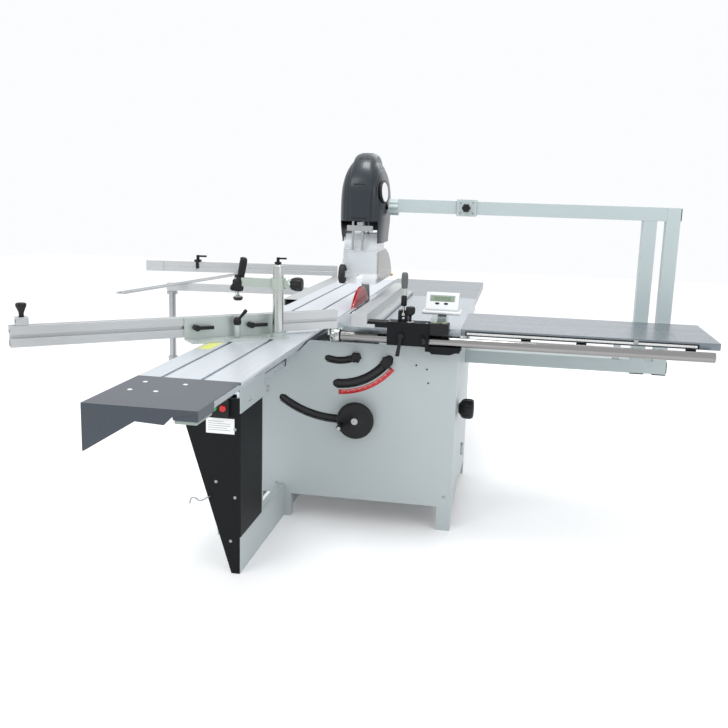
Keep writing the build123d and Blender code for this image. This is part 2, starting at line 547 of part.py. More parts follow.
with BuildPart() as tilt_frame:
    for frame_y in (FRONT_PLATE_Y, REAR_PLATE_Y):
        plate_y(FRAME_OUTLINE, frame_y, frame_y + FRAME_PLATE)
    rod_y(FRONT_PLATE_Y + FRAME_PLATE, REAR_PLATE_Y, *BAR_PLACES[0], 15)
    rod_y(FRONT_PLATE_Y + FRAME_PLATE, REAR_PLATE_Y, *BAR_PLACES[1], 12)
    block(COLUMN_X - 20, COLUMN_X + 15, FRONT_PLATE_Y + FRAME_PLATE, REAR_PLATE_Y,
          LEDGE_BOTTOM, LEDGE_TOP)
    block(WHEEL_AXIS[0] - 14, WHEEL_AXIS[0] + 14, 196, 214, WHEEL_AXIS[1] - 16, LEDGE_BOTTOM)
    for column_y in COLUMN_YS:
        rod_z(LEDGE_TOP, 855, COLUMN_X, column_y, COLUMN_RADIUS)
    rod_y(FRONT_PLATE_Y + FRAME_PLATE, TRUNNION_YS[0] + TRUNNION_THICKNESS + 2, *KNOB_UPPER,
          TILT_PIN_RADIUS)
    rod_y(TRUNNION_YS[1] - 2, REAR_PLATE_Y, *KNOB_UPPER, TILT_PIN_RADIUS)
    rod_y(FRONT_PLATE_Y, FRONT_PLATE_Y + FRAME_PLATE, *WHEEL_AXIS, 10 + RUN, Mode.SUBTRACT)
    rod_y(196, 214, *WHEEL_AXIS, 10 + RUN, Mode.SUBTRACT)
    rod_z(LEDGE_BOTTOM, LEDGE_TOP, WHEEL_AXIS[0], SCREW_Y, SCREW_RADIUS + RUN, Mode.SUBTRACT)
    for place in (KNOB_UPPER, KNOB_LOWER):
        rod_y(FRONT_PLATE_Y, FRONT_PLATE_Y + FRAME_PLATE, *place, 6 + RUN, Mode.SUBTRACT)
save(tilt_frame, "tilt_frame")

KNOB_FRONT = CABINET_FRONT - 34

for knob_name, place, knob_radius in (
    ("tilt_knob_upper", KNOB_UPPER, 24), ("tilt_knob_lower", KNOB_LOWER, 27),
):
    with BuildPart() as tilt_knob:
        knob(Plane.XZ.offset(-(KNOB_FRONT + 26)) * Pos(*place), knob_radius, 26)
        rod_y(KNOB_FRONT + 26, FRONT_PLATE_Y + FRAME_PLATE, *place, 6)
        rod_y(CABINET_FRONT - 5, CABINET_FRONT - 2, *place, 19)
    save(tilt_knob, knob_name)

WHEEL_RADIUS = 79
WHEEL_FRONT = -84
CRANK_REACH = 62
CRANK_X = WHEEL_AXIS[0] - CRANK_REACH * cos(radians(21))
CRANK_Z = WHEEL_AXIS[1] - CRANK_REACH * sin(radians(21))
BEVEL_RADIUS = 18

with BuildPart() as handwheel:
    rod_y(WHEEL_FRONT, WHEEL_FRONT + 22, *WHEEL_AXIS, WHEEL_RADIUS)
    fillet(handwheel.edges().filter_by(GeomType.CIRCLE), 8)
    rod_y(WHEEL_FRONT - 6, WHEEL_FRONT + 36, *WHEEL_AXIS, 24)
    rod_y(WHEEL_FRONT - 6, WHEEL_FRONT + 36, *WHEEL_AXIS, 10, Mode.SUBTRACT)
    rod_y(WHEEL_FRONT - 2, WHEEL_FRONT + 12, CRANK_X, CRANK_Z, 5, Mode.SUBTRACT)
save(handwheel, "handwheel")

with BuildPart() as handwheel_shaft:
    rod_y(WHEEL_FRONT - 6, 231, *WHEEL_AXIS, 10)
    rod_y(224, 231, *WHEEL_AXIS, BEVEL_RADIUS)
    rod_y(WHEEL_FRONT - 9, WHEEL_FRONT - 6, *WHEEL_AXIS, 14)
    rod_y(WHEEL_FRONT - 52, WHEEL_FRONT + 12, CRANK_X, CRANK_Z, 5)
    rod_y(WHEEL_FRONT - 55, WHEEL_FRONT - 52, CRANK_X, CRANK_Z, 8)
save(handwheel_shaft, "handwheel_shaft")

with BuildPart() as crank_grip:
    rod_y(WHEEL_FRONT - 51, WHEEL_FRONT - 1, CRANK_X, CRANK_Z, 13)
    fillet(crank_grip.edges().filter_by(GeomType.CIRCLE), 5)
    rod_y(WHEEL_FRONT - 51, WHEEL_FRONT - 1, CRANK_X, CRANK_Z, 5 + RUN, Mode.SUBTRACT)
save(crank_grip, "crank_grip")

with BuildPart() as height_screw:
    rod_z(WHEEL_AXIS[1] + BEVEL_RADIUS + 1, 840, WHEEL_AXIS[0], SCREW_Y, SCREW_RADIUS)
    rod_z(WHEEL_AXIS[1] + BEVEL_RADIUS + 1, WHEEL_AXIS[1] + BEVEL_RADIUS + 9, WHEEL_AXIS[0], SCREW_Y,
          BEVEL_RADIUS)
save(height_screw, "height_screw")

HOUSING_LEFT = -455
HOUSING_RIGHT = -330
HOUSING_RADIUS = 35
SLEEVE_RADIUS = 20
KNIFE_THICKNESS = 2.6
KNIFE_RIGHT = BLADE_X + KNIFE_THICKNESS / 2

with BuildPart() as arbor_carriage:
    rod_x(HOUSING_LEFT, HOUSING_RIGHT, BLADE_Y, BLADE_Z, HOUSING_RADIUS)
    block(COLUMN_X - 12, COLUMN_X + 12, COLUMN_YS[0], COLUMN_YS[1], 768, 800)
    for column_y in COLUMN_YS:
        rod_z(750, 825, COLUMN_X, column_y, SLEEVE_RADIUS)
    block(WHEEL_AXIS[0] - 16, WHEEL_AXIS[0] + 16, SCREW_Y - 16, COLUMN_YS[0], 772, 800)
    block(-345, -333, 372, 470, 600, 770)
    block(-345, MOTOR_LEFT, 372, 392, 600, 650)
    block(KNIFE_RIGHT, COLUMN_X + 12, 617, 645, 752, 770)
    block(COLUMN_X - 12, COLUMN_X + 12, COLUMN_YS[1] + 14, 645, 752, 770)
    rod_x(HOUSING_LEFT, HOUSING_RIGHT, BLADE_Y, BLADE_Z, ARBOR_RADIUS + RUN, Mode.SUBTRACT)
    for column_y in COLUMN_YS:
        rod_z(750, 825, COLUMN_X, column_y, COLUMN_RADIUS + RUN, Mode.SUBTRACT)
    rod_z(772, 800, WHEEL_AXIS[0], SCREW_Y, SCREW_RADIUS + RUN, Mode.SUBTRACT)
save(arbor_carriage, "arbor_carriage")

ROTOR_RADIUS = 12

with BuildPart() as motor:
    rod_x(MOTOR_LEFT, MOTOR_RIGHT - 20, BLADE_Y, MOTOR_Z, MOTOR_RADIUS)
    with BuildSketch(Plane.YZ.offset(MOTOR_LEFT + 25)):
        with Locations((BLADE_Y, MOTOR_Z)):
            with PolarLocations(MOTOR_RADIUS, 36):
                Rectangle(6, 4)
    extrude(amount=-MOTOR_LEFT + MOTOR_RIGHT - 70, mode=Mode.SUBTRACT)
    rod_x(MOTOR_RIGHT - 20, MOTOR_RIGHT, BLADE_Y, MOTOR_Z, MOTOR_RADIUS - 6)
    rod_x(MOTOR_LEFT, MOTOR_LEFT + 40, BLADE_Y, MOTOR_Z, ROTOR_RADIUS + GAP, Mode.SUBTRACT)
save(motor, "motor")

with BuildPart() as motor_pulley:
    rod_x(PULLEY_LEFT, PULLEY_LEFT + PULLEY_WIDTH, BLADE_Y, MOTOR_Z, MOTOR_PULLEY)
    rod_x(PULLEY_LEFT - 4, MOTOR_LEFT + 38, BLADE_Y, MOTOR_Z, ROTOR_RADIUS)
save(motor_pulley, "motor_pulley")

BELT = 4

with BuildPart() as drive_belt:
    with BuildSketch(Plane.YZ.offset(PULLEY_LEFT + 2)):
        with Locations((BLADE_Y, MOTOR_Z)):
            Circle(MOTOR_PULLEY + GAP + BELT)
        with Locations((BLADE_Y, BLADE_Z)):
            Circle(ARBOR_PULLEY + GAP + BELT)
        make_hull()
    extrude(amount=PULLEY_WIDTH - 4)
    with BuildSketch(Plane.YZ.offset(PULLEY_LEFT + 2)):
        with Locations((BLADE_Y, MOTOR_Z)):
            Circle(MOTOR_PULLEY + GAP)
        with Locations((BLADE_Y, BLADE_Z)):
            Circle(ARBOR_PULLEY + GAP)
        make_hull()
    extrude(amount=PULLEY_WIDTH - 4, mode=Mode.SUBTRACT)
save(drive_belt, "drive_belt")

BLADE_LEFT = BLADE_X - BLADE_THICKNESS / 2
BLADE_RIGHT = BLADE_X + BLADE_THICKNESS / 2
NUT_LEFT = -487

with BuildPart() as arbor:
    rod_x(NUT_LEFT - 4, PULLEY_LEFT + PULLEY_WIDTH + 4, BLADE_Y, BLADE_Z, ARBOR_RADIUS)
    rod_x(BLADE_RIGHT, BLADE_RIGHT + 8, BLADE_Y, BLADE_Z, HOUSING_RADIUS)
    rod_x(PULLEY_LEFT, PULLEY_LEFT + PULLEY_WIDTH, BLADE_Y, BLADE_Z, ARBOR_PULLEY)
    rod_x(NUT_LEFT, BLADE_LEFT, BLADE_Y, BLADE_Z, 22)
save(arbor, "arbor")

TEETH = 36

with BuildPart() as saw_blade:
    with BuildSketch(Plane.YZ.offset(BLADE_LEFT)):
        with Locations((BLADE_Y, BLADE_Z)):
            Circle(BLADE_RADIUS)
            with PolarLocations(BLADE_RADIUS + 1, TEETH):
                Polygon((2, -6), (2, 6), (-10, 5), align=None, mode=Mode.SUBTRACT)
            with PolarLocations(BLADE_RADIUS - 22, 4, start_angle=20):
                Rectangle(26, 2, mode=Mode.SUBTRACT)
            Circle(ARBOR_RADIUS, mode=Mode.SUBTRACT)
    extrude(amount=BLADE_THICKNESS)
save(saw_blade, "saw_blade")

KNIFE_RADIUS = BLADE_RADIUS + 5.5

with BuildPart() as riving_knife:
    with BuildSketch(Plane.YZ.offset(BLADE_X - KNIFE_THICKNESS / 2)):
        Polygon((490, 930), (487, 992), (680, 975), (706, 897), (700, 750), (612, 750), align=None)
        with Locations((BLADE_Y, BLADE_Z)):
            Circle(KNIFE_RADIUS, mode=Mode.SUBTRACT)
    extrude(amount=KNIFE_THICKNESS)
save(riving_knife, "riving_knife")

CROWN_WIDTH = 14
CROWN_BOTTOM = TABLE_Z + 21
CROWN_CENTRE = (453, 697)
CROWN_RADIUS = 280

with BuildPart() as crown_guard:
    with BuildSketch(Plane.YZ.offset(BLADE_X - CROWN_WIDTH / 2)):
        with Locations(CROWN_CENTRE):
            Circle(CROWN_RADIUS)
        with Locations((CROWN_CENTRE[0], CROWN_BOTTOM - CROWN_RADIUS)):
            Rectangle(2 * CROWN_RADIUS + 2, 2 * CROWN_RADIUS, mode=Mode.SUBTRACT)
    extrude(amount=CROWN_WIDTH)
    fillet(crown_guard.edges().filter_by(GeomType.CIRCLE), 4)
    block(BLADE_X - 3, BLADE_X + 3, 240, 720, CROWN_BOTTOM, CROWN_CENTRE[1] + CROWN_RADIUS - 14,
          Mode.SUBTRACT)
    block(BLADE_X - KNIFE_THICKNESS / 2, BLADE_X + KNIFE_THICKNESS / 2, 470, 720, CROWN_BOTTOM, 1000,
          Mode.SUBTRACT)
save(crown_guard, "crown_guard")

# ================================================================ sliding table
SLIDE_OUTLINE = [
    (SLIDE_LEFT, TABLE_Z), (SLIDE_RIGHT, TABLE_Z), (SLIDE_RIGHT, TABLE_Z - 8), (-536, TABLE_Z - 9),
    (-603, 803), (-639, SLIDE_BOTTOM), (SLIDE_LEFT, SLIDE_BOTTOM),
]
LEFT_CAVITY = [(-819, 858), (-690, 858), (-690, 759), (-819, 759)]
RIGHT_CAVITY = [(-686, 858), (-553, 858), (-606, 808), (-642, 759), (-686, 759)]

with BuildPart() as table_extrusion:
    plate_y(SLIDE_OUTLINE, SLIDE_FRONT, SLIDE_REAR)
    plate_y(LEFT_CAVITY, SLIDE_FRONT, SLIDE_REAR, Mode.SUBTRACT)
    plate_y(RIGHT_CAVITY, SLIDE_FRONT, SLIDE_REAR, Mode.SUBTRACT)
    for slot_x in SLOT_XS:
        block(slot_x - 6, slot_x + 6, SLIDE_FRONT, SLIDE_REAR, 870, TABLE_Z, Mode.SUBTRACT)
        block(slot_x - 11, slot_x + 11, SLIDE_FRONT, SLIDE_REAR, 862, 870, Mode.SUBTRACT)
    for rail_x in RAIL_XS:
        rod_y(SLIDE_FRONT + 40, SLIDE_REAR - 40, rail_x, SLIDE_BOTTOM - RAIL_RADIUS, RAIL_RADIUS)
        block(rail_x - 3, rail_x + 3, SLIDE_FRONT + 40, SLIDE_REAR - 40, SLIDE_BOTTOM - 2, SLIDE_BOTTOM)
save(table_extrusion, "table_extrusion")

CAGE_FRONT = -250
CAGE_REAR = 750
CAGE_Z = (BED_TOP + SLIDE_BOTTOM) / 2
ROLL_RADIUS = (SLIDE_BOTTOM - BED_TOP) / 2 - 2 * RAIL_RADIUS - GAP
ROLL_PITCH = 100
ROLL_YS = [CAGE_FRONT + 50 + ROLL_PITCH * n for n in range(10)]

with BuildPart() as bearing_cage:
    block(-815, -725, CAGE_FRONT, CAGE_REAR, CAGE_Z - 3, CAGE_Z + 3)
    for roll_y in ROLL_YS:
        for rail_x in RAIL_XS:
            block(rail_x - 8, rail_x + 8, roll_y - ROLL_RADIUS - 1, roll_y + ROLL_RADIUS + 1,
                  CAGE_Z - 3, CAGE_Z + 3, Mode.SUBTRACT)
            rod_x(rail_x - 8, rail_x + 8, roll_y, CAGE_Z, 2)
            rod_x(rail_x - 6, rail_x + 6, roll_y, CAGE_Z, ROLL_RADIUS)
save(bearing_cage, "bearing_cage")

with BuildPart() as end_tray:
    block(SLIDE_LEFT, SLIDE_RIGHT, TRAY_FRONT, SLIDE_FRONT, TABLE_Z - SHEET, TABLE_Z)
    block(SLIDE_LEFT, SLIDE_LEFT + SHEET, TRAY_FRONT, SLIDE_FRONT, 746, TABLE_Z)
    plate_y([(SLIDE_LEFT, TABLE_Z), (SLIDE_RIGHT, TABLE_Z), (SLIDE_RIGHT, 868), (-575, 855),
             (-598, 832), (-676, 836), (-819, 746), (SLIDE_LEFT, 746)],
            TRAY_FRONT, TRAY_FRONT + SHEET)
    plate_y(SLIDE_OUTLINE, SLIDE_FRONT - 4, SLIDE_FRONT)
    block(-575, SLIDE_RIGHT, TRAY_FRONT + SHEET, TRAY_FRONT + 120, 846, TABLE_Z - SHEET)
save(end_tray, "end_tray")

# ---------------------------------------------------------------- outrigger
RAIL_TOP = 872
RAIL_BOTTOM = 835
SIDE_RAIL_LEFT = -907

TUBE_START = (-1690, 1052)
TUBE_END = (SIDE_RAIL_LEFT - 4, 1147)
T_BAR_START = (-1704, 487)
T_BAR_END = (-1468, 1650)


def bar_plane(start, end):
    """Frame with its X along a level bar, its origin at the bar's start on the floor."""
    return Plane(origin=(start[0], start[1], 0), x_dir=(end[0] - start[0], end[1] - start[1], 0),
                 z_dir=(0, 0, 1))


def bar_length(start, end):
    """Length of a level bar between two plan points."""
    return (Vector(end[0], end[1]) - Vector(start[0], start[1])).length


t_length = bar_length(T_BAR_START, T_BAR_END)

with BuildPart(bar_plane(T_BAR_START, T_BAR_END)) as t_slot_bar:
    block(0, t_length, -22, 22, TABLE_Z, BAR_BOTTOM)
    block(-1, t_length - 40, -6, 6, TABLE_Z + 3, BAR_BOTTOM, Mode.SUBTRACT)

tube_length = bar_length(TUBE_START, TUBE_END)

with BuildPart(bar_plane(TUBE_START, TUBE_END)) as outrigger_tube:
    block(0, tube_length, -20, 20, RAIL_BOTTOM, TABLE_Z)
    block(-1, tube_length + 1, -16, 16, RAIL_BOTTOM + THIN, TABLE_Z - THIN, Mode.SUBTRACT)

with BuildPart() as outrigger_frame:
    block(SIDE_RAIL_LEFT, SLIDE_LEFT, 670, SLIDE_REAR + 30, RAIL_BOTTOM, RAIL_TOP)
    block(SIDE_RAIL_LEFT + THIN, SLIDE_LEFT - THIN, 670, SLIDE_REAR + 30, RAIL_BOTTOM + THIN,
          RAIL_TOP - THIN, Mode.SUBTRACT)
    block(-900, -850, 1755, 1795, RAIL_TOP, BAR_BOTTOM)
    block(SIDE_RAIL_LEFT - 10, SIDE_RAIL_LEFT, 1105, 1190, RAIL_BOTTOM, RAIL_TOP)
    add(outrigger_tube.part)
    add(t_slot_bar.part)
save(outrigger_frame, "outrigger_frame")

# The long fence is a hollow bar with a tongue that pulls out of its left end.
OUT_PLANE = bar_plane(OUTRIGGER_START, OUTRIGGER_END)
OUT_LENGTH = bar_length(OUTRIGGER_START, OUTRIGGER_END)
OUT_HALF = 17.5
OUT_TOP = BAR_BOTTOM + OUTRIGGER_BAR_HEIGHT
TIP_LENGTH = 110
TONGUE_HALF = OUT_HALF - 5

with BuildPart(OUT_PLANE) as outrigger_fence:
    block(TIP_LENGTH + 1, OUT_LENGTH, -OUT_HALF, OUT_HALF, BAR_BOTTOM, OUT_TOP)
    block(TIP_LENGTH, OUT_LENGTH + 1, -TONGUE_HALF - GAP, TONGUE_HALF + GAP, BAR_BOTTOM + 8, OUT_TOP - 14,
          Mode.SUBTRACT)
    for side in (-1, 1):
        edge = side * OUT_HALF
        block(TIP_LENGTH, OUT_LENGTH + 1, min(edge, edge - side * 2), max(edge, edge - side * 2),
              BAR_BOTTOM + 26, BAR_BOTTOM + 34, Mode.SUBTRACT)
    block(TIP_LENGTH, OUT_LENGTH + 1, -5, 5, OUT_TOP - 6, OUT_TOP, Mode.SUBTRACT)
save(outrigger_fence, "outrigger_fence")

with BuildPart(OUT_PLANE) as fence_extension:
    block(0, TIP_LENGTH, -OUT_HALF, OUT_HALF, BAR_BOTTOM, OUT_TOP)
    block(TIP_LENGTH, TIP_LENGTH + 330, -TONGUE_HALF, TONGUE_HALF, BAR_BOTTOM + 8 + GAP, OUT_TOP - 14 - GAP)
save(fence_extension, "fence_extension")

STOP_PLACES = {"flip_stop_left": 300, "flip_stop_right": 800}
STOP_LENGTH = 40

for stop_name, along in STOP_PLACES.items():
    with BuildPart(OUT_PLANE) as flip_stop:
        block(along, along + STOP_LENGTH, -OUT_HALF, OUT_HALF, OUT_TOP + GAP, OUT_TOP + 14)
        block(along + 12, along + 28, -OUT_HALF - 12, -OUT_HALF, OUT_TOP - 40, OUT_TOP + 14)
        block(along + 12, along + 28, -OUT_HALF - GAP, -OUT_HALF, OUT_TOP - 41, OUT_TOP + GAP,
              Mode.SUBTRACT)
        rod_z(OUT_TOP + 14, OUT_TOP + 42, along + 20, 0, 10)
        block(along + 20, along + 74, -5, 5, OUT_TOP + 30, OUT_TOP + 41)
    save(flip_stop, stop_name)

# ---------------------------------------------------------------- swing arm that carries the outrigger
ARM_PLANE = bar_plane(ARM_PIVOT, ARM_TIP)
ARM_REACH = bar_length(ARM_PIVOT, ARM_TIP)
ARM_HALF = 25
ARM_SLEEVE = 720
TONGUE = ARM_HALF - THIN - GAP
LUG_LOW = 400
LUG_HIGH = 460

with BuildPart(ARM_PLANE) as swing_arm:
    block(34, ARM_SLEEVE, -ARM_HALF, ARM_HALF, ARM_Z - ARM_HALF, ARM_Z + ARM_HALF)
    block(38, ARM_SLEEVE + 1, -ARM_HALF + THIN, ARM_HALF - THIN, ARM_Z - ARM_HALF + THIN,
          ARM_Z + ARM_HALF - THIN, Mode.SUBTRACT)
    rod_z(LUG_LOW + GAP, LUG_HIGH - GAP, 0, 0, 20)
    block(0, 36, -14, 14, ARM_Z - 20, ARM_Z + 20)
    rod_z(LUG_LOW, LUG_HIGH, 0, 0, 10 + RUN, Mode.SUBTRACT)
save(swing_arm, "swing_arm")

with BuildPart(ARM_PLANE) as arm_extension:
    block(430, ARM_REACH - POST_RADIUS, -TONGUE, TONGUE, ARM_Z - TONGUE, ARM_Z + TONGUE)
    block(434, ARM_REACH - POST_RADIUS, -TONGUE + THIN, TONGUE - THIN, ARM_Z - TONGUE + THIN,
          ARM_Z + TONGUE - THIN, Mode.SUBTRACT)
    rod_z(ARM_Z - ARM_HALF, ARM_Z + ARM_HALF, ARM_REACH, 0, POST_RADIUS + 8)
    rod_z(ARM_Z - ARM_HALF, 812, ARM_REACH, 0, POST_RADIUS)
    rod_z(812, 828, ARM_REACH, 0, 30)
save(arm_extension, "arm_extension")

# ================================================================ mitre fence
MITRE_PLANE = Plane(origin=(*MITRE_PIVOT, 0),
                    x_dir=(cos(radians(MITRE_ANGLE)), sin(radians(MITRE_ANGLE)), 0), z_dir=(0, 0, 1))
BAR_FRONT = BAR_OFFSET - BAR_THICKNESS / 2
BAR_BACK = BAR_OFFSET + BAR_THICKNESS / 2
BAR_TOP = BAR_BOTTOM + BAR_HEIGHT
BAR_START = -775
BAR_END = 436
GROOVE_Z = BAR_BOTTOM + BAR_HEIGHT / 2
BASE_TOP = TABLE_Z + 6
BRACKET_START = -190
BRACKET_END = 185
LEVER_PLACES = (-150, 60)
LEVER_REACH = 62
PIVOT_LEVER_TOP = BAR_TOP + 14
CLAMP_POST = (149, -29)
CLAMP_POST_RADIUS = 20
CLAMP_POST_TOP = 1142

with BuildPart(MITRE_PLANE) as mitre_bracket:
    block(BRACKET_START, BRACKET_END, -56, BAR_FRONT - GAP, TABLE_Z + GAP, BASE_TOP)
    block(BRACKET_START, BRACKET_END, BAR_FRONT - 6, BAR_FRONT - GAP, BASE_TOP, BAR_TOP)
    for lever_u in LEVER_PLACES:
        rod_y(BAR_FRONT - 6, BAR_FRONT, lever_u, GROOVE_Z, 5, Mode.SUBTRACT)
    rod_z(863, BASE_TOP + 20, 0, 0, 6 - GAP)
    rod_z(TABLE_Z, BASE_TOP + 20, 0, 0, 6)
    rod_z(BASE_TOP, CLAMP_POST_TOP, *CLAMP_POST, CLAMP_POST_RADIUS)
    rod_z(BASE_TOP, BASE_TOP + 14, *CLAMP_POST, CLAMP_POST_RADIUS + 5)
save(mitre_bracket, "mitre_bracket")

with BuildPart(MITRE_PLANE) as pivot_lever:
    rod_z(BASE_TOP + GAP, PIVOT_LEVER_TOP, 0, 0, 12)
    block(0, 44, -6, 6, PIVOT_LEVER_TOP - 12, PIVOT_LEVER_TOP)
    rod_z(BASE_TOP, BASE_TOP + 24, 0, 0, 6 + RUN, Mode.SUBTRACT)
save(pivot_lever, "pivot_lever")

with BuildPart(MITRE_PLANE) as fence_levers:
    for lever_u in LEVER_PLACES:
        rod_y(BAR_FRONT - 34, BAR_FRONT - 6, lever_u, GROOVE_Z, 11)
        rod_y(BAR_FRONT - 8, BAR_FRONT + 5, lever_u, GROOVE_Z, 5)
        block(lever_u, lever_u + LEVER_REACH, BAR_FRONT - 34, BAR_FRONT - 22, GROOVE_Z - 6, GROOVE_Z + 6)
save(fence_levers, "fence_levers")

with BuildPart(MITRE_PLANE) as mitre_fence:
    block(BAR_START, BAR_END, BAR_FRONT, BAR_BACK, BAR_BOTTOM, BAR_TOP)
    for low, high in ((BAR_BOTTOM + 4, GROOVE_Z - 12), (GROOVE_Z + 12, BAR_TOP - 12)):
        block(BAR_START, BAR_END, BAR_FRONT + 4, BAR_BACK - 4, low, high, Mode.SUBTRACT)
    block(BAR_START, BAR_END, BAR_FRONT, BAR_FRONT + 10, GROOVE_Z - 6, GROOVE_Z + 6, Mode.SUBTRACT)
    block(BAR_START, BAR_END, BAR_BACK - 10, BAR_BACK, GROOVE_Z - 6, GROOVE_Z + 6, Mode.SUBTRACT)
    block(BAR_START, BAR_END, BAR_OFFSET - 5, BAR_OFFSET + 5, BAR_TOP - 7, BAR_TOP, Mode.SUBTRACT)
save(mitre_fence, "mitre_fence")

STOP_U = -735
STOP_TOP = BAR_TOP + 28

with BuildPart(MITRE_PLANE) as fence_stop:
    block(STOP_U - 20, STOP_U + 20, BAR_FRONT, BAR_BACK, BAR_TOP + GAP, STOP_TOP)
    block(STOP_U + 8, STOP_U + 20, BAR_BACK + GAP, BAR_BACK + 10, BAR_BOTTOM + 10, STOP_TOP)
    block(STOP_U + 8, STOP_U + 20, BAR_BACK - 1, BAR_BACK + 1, BAR_TOP + GAP, STOP_TOP)
    rod_z(STOP_TOP, STOP_TOP + 12, STOP_U, BAR_OFFSET, 10)
    rod_z(STOP_TOP + 12, STOP_TOP + 48, STOP_U, BAR_OFFSET, 18)
save(fence_stop, "fence_stop")

# ---------------------------------------------------------------- hold-down clamp
POST_X = MITRE_PIVOT[0] + CLAMP_POST[0] * cos(radians(MITRE_ANGLE)) - CLAMP_POST[1] * sin(radians(MITRE_ANGLE))
POST_Y = MITRE_PIVOT[1] + CLAMP_POST[0] * sin(radians(MITRE_ANGLE)) + CLAMP_POST[1] * cos(radians(MITRE_ANGLE))
ARM_LOW = 1062
ARM_HIGH = 1094
HEAD_X = -769
TOGGLE_Z = 1086

with BuildPart() as clamp_arm:
    rod_z(ARM_LOW - 4, ARM_HIGH + 4, POST_X, POST_Y, CLAMP_POST_RADIUS + 8)
    block(HEAD_X - 14, POST_X, POST_Y - 9, POST_Y + 9, ARM_LOW, ARM_HIGH)
    block(POST_X, POST_X + 40, POST_Y - 10, POST_Y + 10, ARM_LOW + 4, ARM_HIGH - 4)
    rod_z(ARM_LOW - 4, ARM_HIGH + 4, POST_X, POST_Y, CLAMP_POST_RADIUS + RUN, Mode.SUBTRACT)
    block(HEAD_X + 8, HEAD_X + 60, POST_Y - 3 - GAP, POST_Y + 3 + GAP, ARM_LOW + 14, ARM_HIGH + 1,
          Mode.SUBTRACT)
    rod_y(POST_Y - 9, POST_Y + 9, HEAD_X + 19, TOGGLE_Z, 3)
    knob(Plane.YZ.offset(POST_X + 40) * Pos(POST_Y, (ARM_LOW + ARM_HIGH) / 2), 20, 26)
    rod_z(1020, ARM_LOW, HEAD_X, POST_Y, 4)
    rod_z(1012, 1024, HEAD_X, POST_Y, 16)
save(clamp_arm, "clamp_arm")

with BuildPart() as clamp_lever:
    lever_x = HEAD_X + 19
    rod_y(POST_Y - 3, POST_Y + 3, lever_x, TOGGLE_Z, 7)
    block(lever_x - 5, lever_x + 5, POST_Y - 3, POST_Y + 3, TOGGLE_Z, TOGGLE_Z + 34)
    block(lever_x - 8, lever_x + 8, POST_Y - 8, POST_Y + 8, TOGGLE_Z + 30, TOGGLE_Z + 82)
    rod_y(POST_Y - 3, POST_Y + 3, lever_x, TOGGLE_Z, 3 + RUN, Mode.SUBTRACT)
save(clamp_lever, "clamp_lever")

# ================================================================ rip fence
HEAD_TOP = 905
FENCE_FRONT = -130
FENCE_REAR = 1100
LIP = 4
LIP_RIGHT = -337
STEP_TOP = 892
HEAD_FRONT = -120
HEAD_REAR = -45
LEVER_X = -197
LEVER_Y = -72
KNOB_Y = -104
LEVER_PIVOT_Z = 930
KNOB_X = -165

with BuildPart() as rip_fence:
    block(FENCE_LEFT, LIP_RIGHT, FENCE_FRONT, FENCE_REAR, FENCE_BOTTOM, FENCE_TOP - LIP)
    block(LIP_RIGHT - LIP, LIP_RIGHT, FENCE_FRONT, FENCE_REAR, FENCE_TOP - LIP, FENCE_TOP)
    block(LIP_RIGHT, FENCE_RIGHT, FENCE_FRONT, FENCE_REAR, FENCE_BOTTOM, STEP_TOP)
    block(FENCE_LEFT + SHEET, LIP_RIGHT - SHEET, FENCE_FRONT + 4, FENCE_REAR - 4, FENCE_BOTTOM + SHEET,
          FENCE_TOP - LIP - SHEET, Mode.SUBTRACT)
save(rip_fence, "rip_fence")

with BuildPart() as rip_head:
    block(FENCE_RIGHT, HEAD_LEFT, -122, -50, FENCE_BOTTOM + 2, HEAD_TOP - 3)
    block(LIP_RIGHT, FENCE_RIGHT, -122, -50, STEP_TOP, HEAD_TOP - 3)
    block(HEAD_LEFT, HEAD_RIGHT, HEAD_FRONT, HEAD_REAR, 840, HEAD_TOP)
    block(HEAD_LEFT, HEAD_RIGHT, HEAD_FRONT, RIP_RAIL_Y - 24, 810, HEAD_TOP)
    rod_x(HEAD_LEFT, HEAD_RIGHT, RIP_RAIL_Y, RIP_RAIL_Z, RIP_RAIL_RADIUS + RUN, Mode.SUBTRACT)
    rod_z(HEAD_TOP, HEAD_TOP + 44, LEVER_X, LEVER_Y, 20)
    block(LEVER_X - 7, LEVER_X + 7, LEVER_Y - 21, LEVER_Y + 21, HEAD_TOP + 6, HEAD_TOP + 45, Mode.SUBTRACT)
    rod_x(LEVER_X - 18, LEVER_X + 18, LEVER_Y, LEVER_PIVOT_Z, 4)
    rod_z(HEAD_TOP - 20, HEAD_TOP, KNOB_X, KNOB_Y, 6 + RUN, Mode.SUBTRACT)
    rod_y(HEAD_FRONT, HEAD_FRONT + 16, LEVER_X, 851, 5 + RUN, Mode.SUBTRACT)
save(rip_head, "rip_head")

with BuildPart() as rip_clamp_lever:
    rod_x(LEVER_X - 7 + GAP, LEVER_X + 7 - GAP, LEVER_Y, LEVER_PIVOT_Z, 10)
    rod_z(LEVER_PIVOT_Z, 1020, LEVER_X, LEVER_Y, 6)
    rod_z(1010, 1100, LEVER_X, LEVER_Y, 12)
    fillet(rip_clamp_lever.edges().group_by(Axis.Z)[-1], 8)
    rod_x(LEVER_X - 8, LEVER_X + 8, LEVER_Y, LEVER_PIVOT_Z, 4 + RUN, Mode.SUBTRACT)
save(rip_clamp_lever, "rip_clamp_lever")

with BuildPart() as fine_adjust_knob:
    rod_z(HEAD_TOP - 18, HEAD_TOP + 30, KNOB_X, KNOB_Y, 6)
    rod_z(HEAD_TOP + GAP, HEAD_TOP + 10, KNOB_X, KNOB_Y, 10)
    knob(Plane.XY.offset(HEAD_TOP + 28) * Pos(KNOB_X, KNOB_Y), 19.5, 40, 20)
save(fine_adjust_knob, "fine_adjust_knob")

